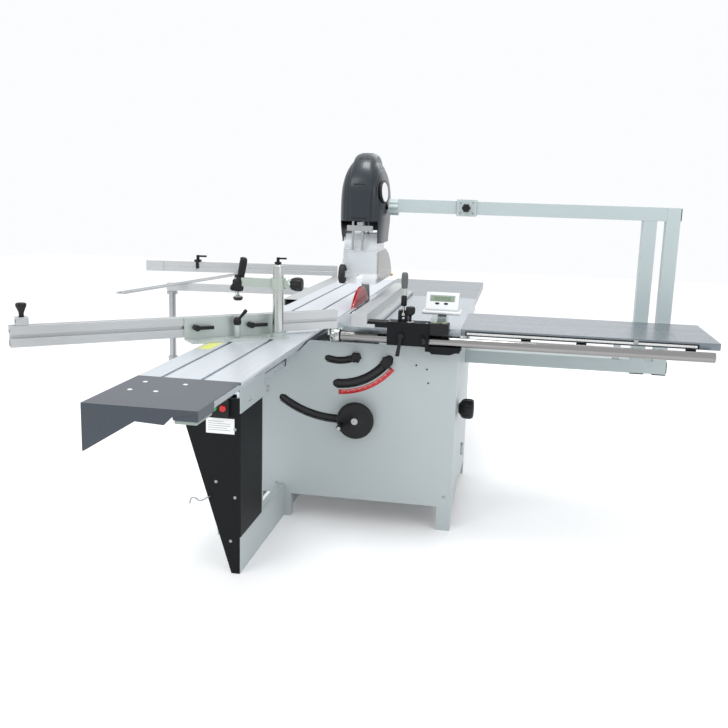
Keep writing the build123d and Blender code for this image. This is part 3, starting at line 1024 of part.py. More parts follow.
with BuildPart() as rail_lock_lever:
    rod_y(HEAD_FRONT - 16, HEAD_FRONT + 14, LEVER_X, 851, 5)
    rod_y(HEAD_FRONT - 16, HEAD_FRONT - GAP, LEVER_X, 851, 11)
    plate_y([(LEVER_X - 6, 851), (LEVER_X + 6, 851), (LEVER_X - 4, 768), (LEVER_X - 20, 768)],
            HEAD_FRONT - 16, HEAD_FRONT - 6)
save(rail_lock_lever, "rail_lock_lever")

with BuildPart() as readout_unit:
    block(HEAD_RIGHT, -8, -112, -50, 861, 943)
    block(HEAD_RIGHT + 8, -16, -112, -106, 880, 934, Mode.SUBTRACT)
    block(-66, -22, -60, -10, 935, 943)
    plate_x([(-10, 935), (-14, 950), (30, 1012), (60, 1015), (60, 935)], -127, 30)
save(readout_unit, "readout_unit")

# ================================================================ side door
DOOR_KNOB_Y = 125
DOOR_KNOB_Z = 506

with BuildPart() as side_door:
    block(INNER_RIGHT, CABINET_RIGHT, DOOR_FRONT + DOOR_GAP, DOOR_REAR - DOOR_GAP,
          DOOR_BOTTOM + DOOR_GAP, DOOR_TOP - DOOR_GAP)
    for hinge_z in HINGE_ZS:
        block(CABINET_RIGHT, HINGE_X, HINGE_Y - 14, HINGE_Y, hinge_z - KNUCKLE / 2, hinge_z + KNUCKLE / 2)
        rod_z(hinge_z - KNUCKLE / 2, hinge_z + KNUCKLE / 2, HINGE_X, HINGE_Y, 5)
        rod_z(hinge_z - KNUCKLE / 2, hinge_z + KNUCKLE / 2, HINGE_X, HINGE_Y, HINGE_PIN + RUN,
              Mode.SUBTRACT)
    rod_x(CABINET_RIGHT, CABINET_RIGHT + 12, DOOR_KNOB_Y, DOOR_KNOB_Z, 20)
    rod_x(INNER_RIGHT, CABINET_RIGHT + 12, DOOR_KNOB_Y, DOOR_KNOB_Z, 8 + RUN, Mode.SUBTRACT)
save(side_door, "side_door")

with BuildPart() as door_knob:
    rod_x(14, CABINET_RIGHT + 34, DOOR_KNOB_Y, DOOR_KNOB_Z, 8)
    knob(Plane.YZ.offset(CABINET_RIGHT + 32) * Pos(DOOR_KNOB_Y, DOOR_KNOB_Z), 45, 38, 12)
    block(14, 20, DOOR_KNOB_Y - 12, DOOR_KNOB_Y + 12, DOOR_KNOB_Z - 8, DOOR_KNOB_Z + 112)
save(door_knob, "door_knob")
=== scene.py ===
"""Looks of the sliding-table panel saw: materials, panels, mouldings, knobs, trim, studio and camera."""
import json
from math import cos, degrees, pi, radians, sin, sqrt

import bmesh
import bpy
from mathutils import Matrix, Vector


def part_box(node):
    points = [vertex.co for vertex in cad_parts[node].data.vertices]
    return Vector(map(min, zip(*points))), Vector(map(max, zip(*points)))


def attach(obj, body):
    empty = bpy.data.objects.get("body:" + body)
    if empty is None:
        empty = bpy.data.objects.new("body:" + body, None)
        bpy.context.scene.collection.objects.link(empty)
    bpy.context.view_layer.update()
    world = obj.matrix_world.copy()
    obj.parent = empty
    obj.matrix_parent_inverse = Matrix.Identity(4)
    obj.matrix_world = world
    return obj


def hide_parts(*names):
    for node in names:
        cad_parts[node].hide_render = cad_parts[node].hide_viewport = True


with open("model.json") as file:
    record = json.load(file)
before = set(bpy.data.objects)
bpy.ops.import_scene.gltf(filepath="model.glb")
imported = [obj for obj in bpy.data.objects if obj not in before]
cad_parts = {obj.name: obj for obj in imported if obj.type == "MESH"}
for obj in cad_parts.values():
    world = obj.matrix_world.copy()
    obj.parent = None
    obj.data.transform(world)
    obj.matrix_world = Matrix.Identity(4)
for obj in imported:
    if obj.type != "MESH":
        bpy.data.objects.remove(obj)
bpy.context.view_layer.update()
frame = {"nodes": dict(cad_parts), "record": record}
MM = 0.001
BODY_OF = {node: body for body, nodes in frame["record"]["behaviour"]["bodies"].items() for node in nodes}
SLOT_OF = {row["node"]: row["material_slot"] for row in frame["record"]["subparts"]}


def mm(x, y, z):
    """Point given in millimetres, in metres."""
    return Vector((x, y, z)) * MM


# ---------------------------------------------------------------- materials
def surface(name, color, rough=0.5, metallic=0.0, grain=250.0, bump=0.12, spread=0.06, stretch=(1, 1, 1),
            patches=3.0, wear=None, **sockets):
    """Principled material with a fine grain, broad tone changes, uneven gloss and optional worn edges."""
    material = bpy.data.materials.new(name)
    material.use_nodes = True
    tree = material.node_tree
    link = tree.links.new
    shader = tree.nodes["Principled BSDF"]
    place = tree.nodes.new("ShaderNodeTexCoord").outputs["Object"]
    mapping = tree.nodes.new("ShaderNodeMapping")
    mapping.inputs["Scale"].default_value = stretch
    link(place, mapping.inputs["Vector"])
    fine = tree.nodes.new("ShaderNodeTexNoise")
    fine.inputs["Scale"].default_value = grain
    fine.inputs["Detail"].default_value = 5.0
    link(mapping.outputs[0], fine.inputs["Vector"])
    broad = tree.nodes.new("ShaderNodeTexNoise")
    broad.inputs["Scale"].default_value = patches
    broad.inputs["Detail"].default_value = 4.0
    link(mapping.outputs[0] if stretch != (1, 1, 1) else place, broad.inputs["Vector"])
    tone = tree.nodes.new("ShaderNodeMix")
    tone.data_type = "RGBA"
    tone.inputs[6].default_value = (*[max(0.0, c * (1 - spread)) for c in color], 1)
    tone.inputs[7].default_value = (*[min(1.0, c * (1 + spread)) for c in color], 1)
    link(broad.outputs[0], tone.inputs[0])
    shade = tone.outputs[2]
    gloss = tree.nodes.new("ShaderNodeMapRange")
    gloss.inputs["From Min"].default_value = 0.3
    gloss.inputs["From Max"].default_value = 0.7
    gloss.inputs["To Min"].default_value = max(0.02, rough - 0.08)
    gloss.inputs["To Max"].default_value = min(1.0, rough + 0.08)
    link(fine.outputs[0], gloss.inputs["Value"])
    link(gloss.outputs[0], shader.inputs["Roughness"])
    if wear:
        edge = tree.nodes.new("ShaderNodeBevel")
        edge.samples = 4
        edge.inputs["Radius"].default_value = 0.0016
        flat = tree.nodes.new("ShaderNodeNewGeometry")
        match = tree.nodes.new("ShaderNodeVectorMath")
        match.operation = "DOT_PRODUCT"
        link(edge.outputs[0], match.inputs[0])
        link(flat.outputs["Normal"], match.inputs[1])
        mask = tree.nodes.new("ShaderNodeMapRange")
        mask.inputs["From Min"].default_value = 0.985
        mask.inputs["From Max"].default_value = 0.86
        link(match.outputs["Value"], mask.inputs["Value"])
        patchy = tree.nodes.new("ShaderNodeMapRange")
        patchy.inputs["From Min"].default_value = 0.48
        patchy.inputs["From Max"].default_value = 0.66
        link(fine.outputs[0], patchy.inputs["Value"])
        both = tree.nodes.new("ShaderNodeMath")
        both.operation = "MULTIPLY"
        link(mask.outputs[0], both.inputs[0])
        link(patchy.outputs[0], both.inputs[1])
        worn = tree.nodes.new("ShaderNodeMix")
        worn.data_type = "RGBA"
        worn.inputs[7].default_value = (*wear, 1)
        link(both.outputs[0], worn.inputs[0])
        link(shade, worn.inputs[6])
        shade = worn.outputs[2]
    link(shade, shader.inputs["Base Color"])
    relief = tree.nodes.new("ShaderNodeBump")
    relief.inputs["Strength"].default_value = bump
    relief.inputs["Distance"].default_value = 0.0006
    link(fine.outputs[0], relief.inputs["Height"])
    link(relief.outputs[0], shader.inputs["Normal"])
    shader.inputs["Metallic"].default_value = metallic
    for socket, value in sockets.items():
        shader.inputs[socket.replace("_", " ")].default_value = value
    return material


LOOK = {
    "cabinet_paint": surface("cabinet_paint", (0.425, 0.472, 0.478), 0.42, grain=520, bump=0.10, spread=0.04,
                             wear=(0.38, 0.41, 0.41)),
    "boom_paint": surface("boom_paint", (0.475, 0.545, 0.55), 0.38, grain=520, bump=0.10, spread=0.04,
                          wear=(0.42, 0.46, 0.45)),
    "dark_paint": surface("dark_paint", (0.008, 0.009, 0.010), 0.50, grain=600, bump=0.16,
                          wear=(0.10, 0.10, 0.11),
                          Specular_IOR_Level=0.14),
    "cast_table": surface("cast_table", (0.41, 0.46, 0.495), 0.30, 0.8, 26, 0.10, 0.10, (1, 34, 8), 2.0),
    "sheet_steel": surface("sheet_steel", (0.215, 0.250, 0.275), 0.27, 0.7, 14, 0.05, 0.26, (1.2, 30, 6),
                           1.4),
    "steel": surface("steel", (0.42, 0.43, 0.44), 0.32, 0.9, 420, 0.06, 0.10),
    "chrome": surface("chrome", (0.30, 0.295, 0.29), 0.16, 1.0, 30, 0.03, 0.10, (1, 20, 20)),
    "extrusion": surface("extrusion", (0.66, 0.70, 0.74), 0.36, 0.7, 18, 0.06, 0.07, (40, 1, 40), 2.0,
                         wear=(0.80, 0.81, 0.82)),
    "bar": surface("bar", (0.50, 0.515, 0.52), 0.40, 0.6, 160, 0.05, 0.05, wear=(0.80, 0.81, 0.82)),
    "tray_paint": surface("tray_paint", (0.040, 0.052, 0.068), 0.33, grain=700, bump=0.16,
                          wear=(0.14, 0.16, 0.18)),
    "black_plastic": surface("black_plastic", (0.009, 0.009, 0.010), 0.42, grain=900, bump=0.14, spread=0.2,
                             Specular_IOR_Level=0.28),
    "hood_plastic": surface("hood_plastic", (0.012, 0.019, 0.026), 0.34, grain=1100, bump=0.16, spread=0.10,
                            wear=(0.08, 0.10, 0.12), Specular_IOR_Level=0.42, Coat_Weight=0.15),
    "clear_plastic": surface("clear_plastic", (0.90, 0.95, 1.0), 0.12, grain=60, bump=0.04, spread=0.05,
                             Alpha=0.52, Coat_Weight=0.7),
    "red_plastic": surface("red_plastic", (0.62, 0.020, 0.025), 0.22, grain=300, bump=0.05, Coat_Weight=0.5),
    "blade_steel": surface("blade_steel", (0.60, 0.61, 0.62), 0.24, 1.0, 300, 0.05),
    "rubber": surface("rubber", (0.016, 0.016, 0.017), 0.62, grain=800, bump=0.25),
    "motor_paint": surface("motor_paint", (0.10, 0.13, 0.17), 0.45, grain=500, bump=0.2),
    "readout_plastic": surface("readout_plastic", (0.66, 0.68, 0.68), 0.40, grain=900, bump=0.10,
                               spread=0.03),
    "green_button": surface("green_button", (0.02, 0.30, 0.07), 0.25, grain=300, bump=0.04),
    "red_button": surface("red_button", (0.55, 0.015, 0.015), 0.25, grain=300, bump=0.04),
    "frame_iron": surface("frame_iron", (0.10, 0.11, 0.12), 0.50, 0.3, 300, 0.25),
    "label": surface("label", (0.84, 0.85, 0.84), 0.36, grain=500, bump=0.03, spread=0.02),
    "scale_red": surface("scale_red", (0.52, 0.020, 0.022), 0.34, grain=500, bump=0.04),
    "tick_white": surface("tick_white", (0.85, 0.85, 0.83), 0.4, grain=500, bump=0.03),
    "lcd": surface("lcd", (0.20, 0.27, 0.19), 0.12, grain=400, bump=0.02, Coat_Weight=0.8),
    "window": surface("window", (0.34, 0.40, 0.38), 0.10, grain=60, bump=0.03, Alpha=0.34, Coat_Weight=0.6),
    "bumper": surface("bumper", (0.26, 0.31, 0.29), 0.6, grain=700, bump=0.2),
    "tape": surface("tape", (0.62, 0.66, 0.16), 0.35, grain=500, bump=0.05),
    "amber": surface("amber", (0.62, 0.45, 0.16), 0.35, grain=500, bump=0.05),
    "grip_gray": surface("grip_gray", (0.09, 0.10, 0.105), 0.36, grain=700, bump=0.12),
    "dark_steel": surface("dark_steel", (0.10, 0.11, 0.12), 0.35, 0.8, 300, 0.08),
    "mirror_steel": surface("mirror_steel", (0.50, 0.52, 0.50), 0.20, 1.0, 200, 0.03),
    "smoke": surface("smoke", (0.27, 0.25, 0.225), 0.20, grain=60, bump=0.04, Alpha=0.72, Coat_Weight=0.5),
    "bracket_green": surface("bracket_green", (0.47, 0.52, 0.50), 0.38, 0.4, 300, 0.08),
    "arm_green": surface("arm_green", (0.42, 0.48, 0.43), 0.35, 0.3, 300, 0.1),
}


# ---------------------------------------------------------------- mesh helpers
def piece(name, bm, look, body, smooth=True, bevel=0.0, replaces=()):
    """Object from a bmesh, with its material, body and an optional bevel in millimetres."""
    mesh = bpy.data.meshes.new(name)
    bmesh.ops.recalc_face_normals(bm, faces=bm.faces)
    bm.to_mesh(mesh)
    bm.free()
    if "custom_normal" in mesh.attributes:
        mesh.attributes.remove(mesh.attributes["custom_normal"])
    thing = bpy.data.objects.new(name, mesh)
    bpy.context.scene.collection.objects.link(thing)
    mesh.materials.clear()
    mesh.materials.append(LOOK[look])
    mesh.polygons.foreach_set("use_smooth", [smooth] * len(mesh.polygons))
    if bevel:
        edge = thing.modifiers.new("edges", "BEVEL")
        edge.width = bevel * MM
        edge.segments = 2
        edge.limit_method = "ANGLE"
        edge.angle_limit = radians(32)
        thing.modifiers.new("normals", "WEIGHTED_NORMAL")
    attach(thing, body)
    if replaces:
        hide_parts(*replaces)
    return thing


def refine(node, look=None, bevel=0.9):
    """Bevelled copy of a CAD node that stands for it."""
    bm = bmesh.new()
    bm.from_mesh(frame["nodes"][node].data)
    bmesh.ops.remove_doubles(bm, verts=bm.verts, dist=2e-6)
    bmesh.ops.dissolve_limit(bm, angle_limit=radians(0.5), verts=bm.verts, edges=bm.edges)
    slot = SLOT_OF[node]
    return piece(node + "_finished", bm, look or slot, BODY_OF[node], bevel=bevel, replaces=(node,))


def frame_of(centre, axis):
    """Matrix that takes +Z to the axis and the origin to the centre."""
    turn = Vector((0, 0, 1)).rotation_difference(Vector(axis).normalized()).to_matrix().to_4x4()
    return Matrix.Translation(centre) @ turn


def lathe(profile, centre, axis, segments=64, wave=None):
    """Turned shape from (radius, height) pairs in millimetres; wave(angle, row) scales a radius."""
    bm = bmesh.new()
    rows = []
    for index, (radius, height) in enumerate(profile):
        row = []
        for step in range(segments):
            angle = 2 * pi * step / segments
            reach = radius * (wave(angle, index) if wave else 1)
            row.append(bm.verts.new(mm(reach * cos(angle), reach * sin(angle), height)))
        rows.append(row)
    for low, high in zip(rows, rows[1:]):
        for step in range(segments):
            after = (step + 1) % segments
            bm.faces.new((low[step], low[after], high[after], high[step]))
    for row in (rows[0], rows[-1]):
        bm.faces.new(row)
    bm.transform(frame_of(centre, axis))
    return bm


def slab(low, high, turn=None):
    """Block between two corners in millimetres, optionally moved by a matrix."""
    bm = bmesh.new()
    bmesh.ops.create_cube(bm, size=1)
    low, high = Vector(low), Vector(high)
    bm.transform(Matrix.Translation((low + high) / 2 * MM) @ Matrix.Diagonal((*((high - low) * MM), 1)))
    if turn:
        bm.transform(turn)
    return bm


def merged(parts):
    """One bmesh from several."""
    whole = bmesh.new()
    for part in parts:
        mesh = bpy.data.meshes.new("part")
        part.to_mesh(mesh)
        part.free()
        whole.from_mesh(mesh)
        bpy.data.meshes.remove(mesh)
    return whole


def wire(name, points, radius, look, body):
    """Bent round wire through points in millimetres."""
    curve = bpy.data.curves.new(name, "CURVE")
    curve.dimensions = "3D"
    curve.bevel_depth = radius * MM
    curve.bevel_resolution = 4
    curve.use_fill_caps = True
    spline = curve.splines.new("NURBS")
    spline.points.add(len(points) - 1)
    for target, point in zip(spline.points, points):
        target.co = (*mm(*point), 1)
    spline.order_u = 3
    spline.use_endpoint_u = True
    thing = bpy.data.objects.new(name, curve)
    bpy.context.scene.collection.objects.link(thing)
    curve.materials.append(LOOK[look])
    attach(thing, body)
    return thing


def star_knob(name, centre, axis, radius, height, lobes, body, replaces=(), stem=None, look="black_plastic"):
    """Hand knob with rounded lobes and a domed face; its foot stands at the centre."""
    profile = [(radius * 0.45, 0), (radius * 0.62, height * 0.10), (radius * 0.90, height * 0.24),
               (radius * 0.99, height * 0.42), (radius, height * 0.70), (radius * 0.96, height * 0.86),
               (radius * 0.84, height * 0.97), (radius * 0.55, height), (radius * 0.50, height * 0.97),
               (radius * 0.30, height * 0.965), (radius * 0.02, height * 0.97)]
    depth = 0.075 if lobes < 10 else 0.03

    def wave(angle, row):
        return 1 - depth * (1 - cos(lobes * angle)) * (1 if 1 < row < 7 else 0.3)
    parts = [lathe(profile, centre, axis, 96, wave)]
    if stem:
        parts.append(lathe([(stem[0], -stem[1]), (stem[0], 1)], centre, axis, 32))
    return piece(name, merged(parts), look, body, replaces=replaces)


def screws(name, centres, axis, radius, body, look="steel", rise=0.45):
    """Group of socket-head screws; each head stands on its centre."""
    parts = []
    for centre in centres:
        head = [(radius * 0.98, -0.4), (radius, radius * rise * 0.6), (radius * 0.88, radius * rise),
                (radius * 0.50, radius * rise * 1.02), (radius * 0.46, radius * rise * 0.3),
                (radius * 0.05, 0.1)]
        parts.append(lathe(head, mm(*centre), axis, 24))
    return piece(name, merged(parts), look, body)


# ---------------------------------------------------------------- CAD nodes with bevelled edges
BEVELS = {"cabinet_shell": 1.2, "base_support": 1.2, "support_cover": 0.6, "mast_frame": 2.5,
          "mast_boom": 2.5,
          "boom_slide_tube": 2.2, "main_table": 1.5, "outfeed_table": 1.5, "extension_table": 1.0,
          "side_door": 2.0, "swing_arm": 2.0, "arm_extension": 1.5, "table_extrusion": 0.7, "end_tray": 0.7}
SPECIAL = {"hood_shell", "handwheel", "crank_grip", "guard_roller", "boom_knob", "tilt_knob_upper",
           "tilt_knob_lower", "door_knob", "fine_adjust_knob", "readout_unit", "fence_stop",
           "pivot_lever"}
RELOOK = {"mitre_fence": "bar", "outrigger_fence": "bar", "fence_extension": "bar", "rip_fence": "bar",
          "mitre_bracket": "bracket_green", "outrigger_frame": "bar", "clamp_arm": "arm_green",
          "riving_knife": "dark_steel", "rip_clamp_lever": "mirror_steel", "mast_boom": "boom_paint",
          "boom_slide_tube": "boom_paint", "mast_frame": "boom_paint"}
for node in sorted(frame["nodes"]):
    if node not in SPECIAL:
        refine(node, RELOOK.get(node), BEVELS.get(node, 0.8))

# ---------------------------------------------------------------- saw hood
HOOD_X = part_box("hood_shell")[0].x / MM + 84.5
HOOD_Y = 560
CROWN_RADIUS = 184
SHELL_RADIUS = 171
SHELL_HALF = 105
DOME_Z = 1408
HOOD_FOOT = 1182
MOUTH_TOP = 1282
ROWS, COLUMNS = 110, 168


def smoothstep(low, high, value):
    t = min(1.0, max(0.0, (value - low) / (high - low)))
    return t * t * (3 - 2 * t)


def hood_point(u, v):
    """Point of the hood's side shells: u runs round them, v from their foot to their crown."""
    angle = 2 * pi * u
    rise = v * (pi / 2 * SHELL_RADIUS + DOME_Z - HOOD_FOOT)
    if rise < DOME_Z - HOOD_FOOT:
        z, reach = HOOD_FOOT + rise, SHELL_RADIUS
    else:
        lift = (rise - (DOME_Z - HOOD_FOOT)) / SHELL_RADIUS
        z, reach = DOME_Z + SHELL_RADIUS * sin(lift), SHELL_RADIUS * cos(lift)
    climb = max(0.0, (z - 1330) / (DOME_Z + SHELL_RADIUS - 1330))
    half = SHELL_HALF * sqrt(max(0.0, 1 - climb ** 2.6)) * (1 - 0.07 * smoothstep(1300, 1182, z))
    power = 2 / 3.8
    x = half * abs(cos(angle)) ** power * (1 if cos(angle) >= 0 else -1)
    y = reach * abs(sin(angle)) ** power * (1 if sin(angle) >= 0 else -1)
    return x, y, z


bm = bmesh.new()
grid = []
for row in range(ROWS + 1):
    line = []
    for column in range(COLUMNS):
        x, y, z = hood_point(column / COLUMNS, row / ROWS * 0.997)
        x -= 3
        seam = 1 - 0.012 * (1 - smoothstep(1.0, 3.0, abs(abs(x) - 72))) * (z > 1290)
        line.append(bm.verts.new(mm(HOOD_X + x * seam, HOOD_Y + y * seam, z)))
    grid.append(line)
for low, high in zip(grid, grid[1:]):
    for column in range(COLUMNS):
        after = (column + 1) % COLUMNS
        corners = (low[column], low[after], high[after], high[column])
        centre = sum((v.co for v in corners), Vector()) / 4 / MM
        side = centre.x - HOOD_X
        if centre.y < HOOD_Y - 70 and -100 < side < 80 and centre.z < MOUTH_TOP:
            continue
        if centre.y > HOOD_Y + 90 and abs(side + 3) < 90 and centre.z < 1234:
            continue
        bm.faces.new(corners)
bm.faces.new(grid[-1])
hood = piece("saw_hood", bm, "hood_plastic", "hood", replaces=("hood_shell",))
hood.data.materials.append(LOOK["black_plastic"])
wall = hood.modifiers.new("wall", "SOLIDIFY")
wall.thickness = 3.5 * MM
wall.offset = -1
wall.material_offset = 1


def spine_frame(t):
    """Place (y, z) and outward direction on the hood's spine; t runs from its front foot to its rear."""
    front = DOME_Z - MOUTH_TOP
    arc = pi * CROWN_RADIUS
    along = t * (front + arc + DOME_Z - 1228)
    if along < front:
        return HOOD_Y - CROWN_RADIUS, MOUTH_TOP + along, -1.0, 0.0
    if along < front + arc:
        turn = (along - front) / CROWN_RADIUS
        return HOOD_Y - CROWN_RADIUS * cos(turn), DOME_Z + CROWN_RADIUS * sin(turn), -cos(turn), sin(turn)
    return HOOD_Y + CROWN_RADIUS, DOME_Z - (along - front - arc), 1.0, 0.0


bm = bmesh.new()
SPINE_STEPS = 90
SPINE_CUT = [(-1.0, -38), (-1.0, -3.5), (-0.93, -0.8), (-0.8, 0), (-0.45, 1.2), (0, 1.6), (0.45, 1.2),
             (0.8, 0),
             (0.93, -0.8), (1.0, -3.5), (1.0, -38)]
rings = []
for step in range(SPINE_STEPS + 1):
    y, z, ny, nz = spine_frame(step / SPINE_STEPS)
    half = 46 + 7 * smoothstep(1330, 1480, z) if y < HOOD_Y else 53
    sag = 15 * smoothstep(1430, 1560, z)
    ring = []
    for across, up in SPINE_CUT:
        lift = up - 1.6 - (sag * across ** 4 if up > -10 else 0)
        ring.append(bm.verts.new(mm(HOOD_X + across * half, y + ny * lift, z + nz * lift)))
    rings.append(ring)
for one, two in zip(rings, rings[1:]):
    for side in range(len(SPINE_CUT)):
        other = (side + 1) % len(SPINE_CUT)
        bm.faces.new((one[side], one[other], two[other], two[side]))
bm.faces.new(rings[0])
bm.faces.new(rings[-1])
piece("hood_spine", bm, "hood_plastic", "hood", bevel=0.8)


def on_spine(name, height, across, half, thick, look):
    """Small slot on the front of the spine at a height above the floor."""
    lift = max(0.0, height - DOME_Z)
    out = Vector((0, -sqrt(CROWN_RADIUS ** 2 - lift ** 2), lift)) if lift else Vector((0, -CROWN_RADIUS, 0))
    place = mm(HOOD_X + across, HOOD_Y, DOME_Z if lift else height) + out * MM
    turn = frame_of(place, out)
    return piece(name, slab((-half, -thick / 2, -3), (half, thick / 2, 0.5), turn), look, "hood",
                 bevel=1.2)


on_spine("crown_vent_left", 1562, -14, 9, 6, "black_plastic")
on_spine("crown_vent_right", 1562, 14, 9, 6, "black_plastic")
on_spine("front_vent", 1447, -6, 26, 6, "black_plastic")
on_spine("front_vent_pin", 1447, -6, 5, 2.2, "steel")
on_spine("mouth_lip", 1296, -2, 36, 5, "black_plastic")
piece("hood_struts", merged(
    [slab((HOOD_X + side * 22 - 16, 398, 1150), (HOOD_X + side * 22 - 6, 410, 1300)) for side in (-1, 1)]
    + [slab((HOOD_X - 60, 392, 1236), (HOOD_X + 60, 404, 1262)),
       slab((HOOD_X - 12, 386, 1262), (HOOD_X + 14, 402, 1278))]
    + [lathe([(5, 0), (5, 330)], mm(HOOD_X, y, 1150), (0, 0, 1), 24) for y in (500, 620)]),
    "steel", "hood", bevel=0.8)
piece("hood_spigot", lathe([(36, -20), (40, -20), (40, 24), (41.5, 26), (40, 28), (40, 54), (36, 54),
                            (36, -20)],
                           mm(HOOD_X, 745, 1420), (0, 1, 0)), "hood_plastic", "hood")
piece("hood_axle", merged([lathe([(12, 0), (30, 0), (30, 4), (12, 5), (12, 50), (3, 50)],
                                 mm(HOOD_X + 91, 540, 1347),
                                 (1, 0, 0))]), "steel", "hood")
BADGE = frame_of(mm(HOOD_X + 98, 470, 1415), (1.0, -0.10, 0.10))


def oval(angle, row):
    return sqrt(1 / ((cos(angle) / 1.0) ** 2 + (sin(angle) / 1.25) ** 2))


ring = lathe([(48, -14), (54, -6), (54, 1), (51, 2.4), (44, 1.6), (42, 1.4), (1, 1.4)], Vector(), (0, 0, 1),
             96, oval)
ring.transform(BADGE)
badge = piece("hood_badge", ring, "label", "hood")
badge.data.materials.append(LOOK["black_plastic"])
for polygon in badge.data.polygons:
    local = BADGE.inverted() @ polygon.center
    if Vector((local.x, local.y / 1.25)).length > 43.5 * MM:
        polygon.material_index = 1

# ---------------------------------------------------------------- clear guard's fittings
screws("guard_rivets", [(-399, y, 1008) for y in (440, 560, 690, 820)], (1, 0, 0), 5, "guard")
piece("guard_rear_tab", slab((-440, 896, 988), (-392, 936, 998)), "amber", "guard", bevel=2)
REAR = [(470, 994), (470, 1138), (694, 1138), (777, 1115), (840, 1078), (899, 1014), (899, 994)]


def plate(outline, x0, x1):
    """Flat plate between two widths with a (y, z) outline in millimetres."""
    bm = bmesh.new()
    near = [bm.verts.new(mm(x0, y, z)) for y, z in outline]
    far = [bm.verts.new(mm(x1, y, z)) for y, z in outline]
    bm.faces.new(near)
    bm.faces.new(far)
    for step in range(len(outline)):
        after = (step + 1) % len(outline)
        bm.faces.new((near[step], near[after], far[after], far[step]))
    return bm


piece("guard_rear_shell", merged([plate(REAR, -398.6, -397.2), plate(REAR, -553.8, -552.4),
                                  plate([(700, 1140), (777, 1117), (842, 1079), (902, 1014), (902, 994),
                                         (900, 994),
                                         (900, 1013), (840, 1077), (777, 1115), (700, 1138)], -552, -399)]),
      "smoke", "guard", bevel=0.5)
piece("guard_nose", plate([(418, 1208), (418, 1000), (380, 1004), (356, 1022), (352, 1046), (366, 1078)],
                          -551.8, -549),
      "clear_plastic", "guard", bevel=0.6)
piece("guard_rim", merged([slab((-553.5, 418, 992), (-549, 900, 998)),
                           slab((-402, 418, 992), (-397.5, 900, 998)),
                           slab((-554, 414, 1150), (-397, 420, 1156))]), "clear_plastic", "guard", bevel=1)

ROLLER_PROFILE = [(8, -12), (20, -12), (22, -9), (34, -9), (37, -12), (41, -12), (44, -9), (44, -5),
                  (42.6, -4),
                  (44, -3), (44, 3), (42.6, 4), (44, 5), (44, 9), (41, 12), (37, 12), (34, 9), (22, 9),
                  (20, 12), (8, 12)]
piece("guard_roller_wheel", lathe(ROLLER_PROFILE, mm(-546, 370, 1040), (1, 0, 0), 72), "rubber",
      "guard_roller",
      replaces=("guard_roller",))

# ---------------------------------------------------------------- hand wheel, knobs and grips
WHEEL = mm(-385, -84, 469)
WHEEL_PROFILE = [(10, 24), (24, 24), (25, 21), (27, 12), (62, 12), (66, 18), (72, 21), (76, 20), (79, 15),
                 (79.3, 9),
                 (78, 3), (74, -0.5), (68, -1.2), (64, -0.6), (34, -1.6), (31, -2.6), (27, -3), (24, -5),
                 (20, -6), (10, -6)]
piece("hand_wheel", lathe(WHEEL_PROFILE, WHEEL, (0, 1, 0), 96), "black_plastic", "handwheel",
      replaces=("handwheel",))
piece("hand_wheel_cap", lathe([(1, -9.5), (6, -9), (7.5, -7.5), (7.5, -6), (7, -5)], WHEEL, (0, 1, 0), 48),
      "steel", "handwheel")
CRANK_LOW, CRANK_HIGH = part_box("crank_grip")
crank = (CRANK_LOW + CRANK_HIGH) / 2
GRIP_PROFILE = [(8, 0), (10, 3), (11, 12), (13, 30), (12.6, 40), (10, 47), (6, 50)]
piece("crank_handle", lathe(GRIP_PROFILE, Vector((crank.x, CRANK_HIGH.y, crank.z)), (0, -1, 0), 48),
      "black_plastic", "crank_grip", replaces=("crank_grip",))
star_knob("boom_clamp_knob", mm(-2, 500, 1354.5), (0, -1, 0), 20, 30, 6, "boom_knob", ("boom_knob",), (6, 24))
star_knob("upper_tilt_knob", mm(-393, -38, 736), (0, -1, 0), 24, 28, 6, "tilt_knob_upper",
          ("tilt_knob_upper",), (6, 75))
star_knob("lower_tilt_knob", mm(-263, -38, 722), (0, -1, 0), 27, 28, 6, "tilt_knob_lower",
          ("tilt_knob_lower",), (6, 75))
DOOR_LOW, DOOR_HIGH = (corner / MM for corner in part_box("door_knob"))
star_knob("door_latch_knob", mm(34.5, 125, 506), (1, 0, 0), (DOOR_HIGH.y - DOOR_LOW.y) / 2,
          DOOR_HIGH.x - 35, 14,
          "door_knob", ("door_knob",), (6, 12))
star_knob("fine_adjust_dial", mm(-165, -104, 933), (0, 0, 1), 19.5, 36, 22, "fine_adjust_knob",
          ("fine_adjust_knob",), (6, 44))

# ---------------------------------------------------------------- mitre pivot's clamping lever
MITRE_PIVOT = (-747, -540)
PIVOT_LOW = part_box("pivot_lever")[0] / MM
PIVOT_KNOB_Z = PIVOT_LOW.z + 46
piece("pivot_post", lathe([(10.5, PIVOT_LOW.z), (11, PIVOT_LOW.z + 1), (11, PIVOT_KNOB_Z - 1),
                           (10, PIVOT_KNOB_Z)],
                          mm(*MITRE_PIVOT, 0), (0, 0, 1), 48), "bracket_green", "pivot_lever",
                          replaces=("pivot_lever",))
piece("pivot_handle", merged([
    lathe([(10, 0), (13.5, 2), (14.5, 8), (14.5, 16), (12, 24), (7, 28), (1, 29)],
          mm(*MITRE_PIVOT, PIVOT_KNOB_Z), (0, 0, 1), 48),
    lathe([(6, 0), (6, 12), (5, 20), (6, 34), (7.2, 46), (6.5, 52), (3, 54)],
          mm(*MITRE_PIVOT, PIVOT_KNOB_Z + 14),
          (0.62, 0.10, 0.78), 40)]), "black_plastic", "pivot_lever")

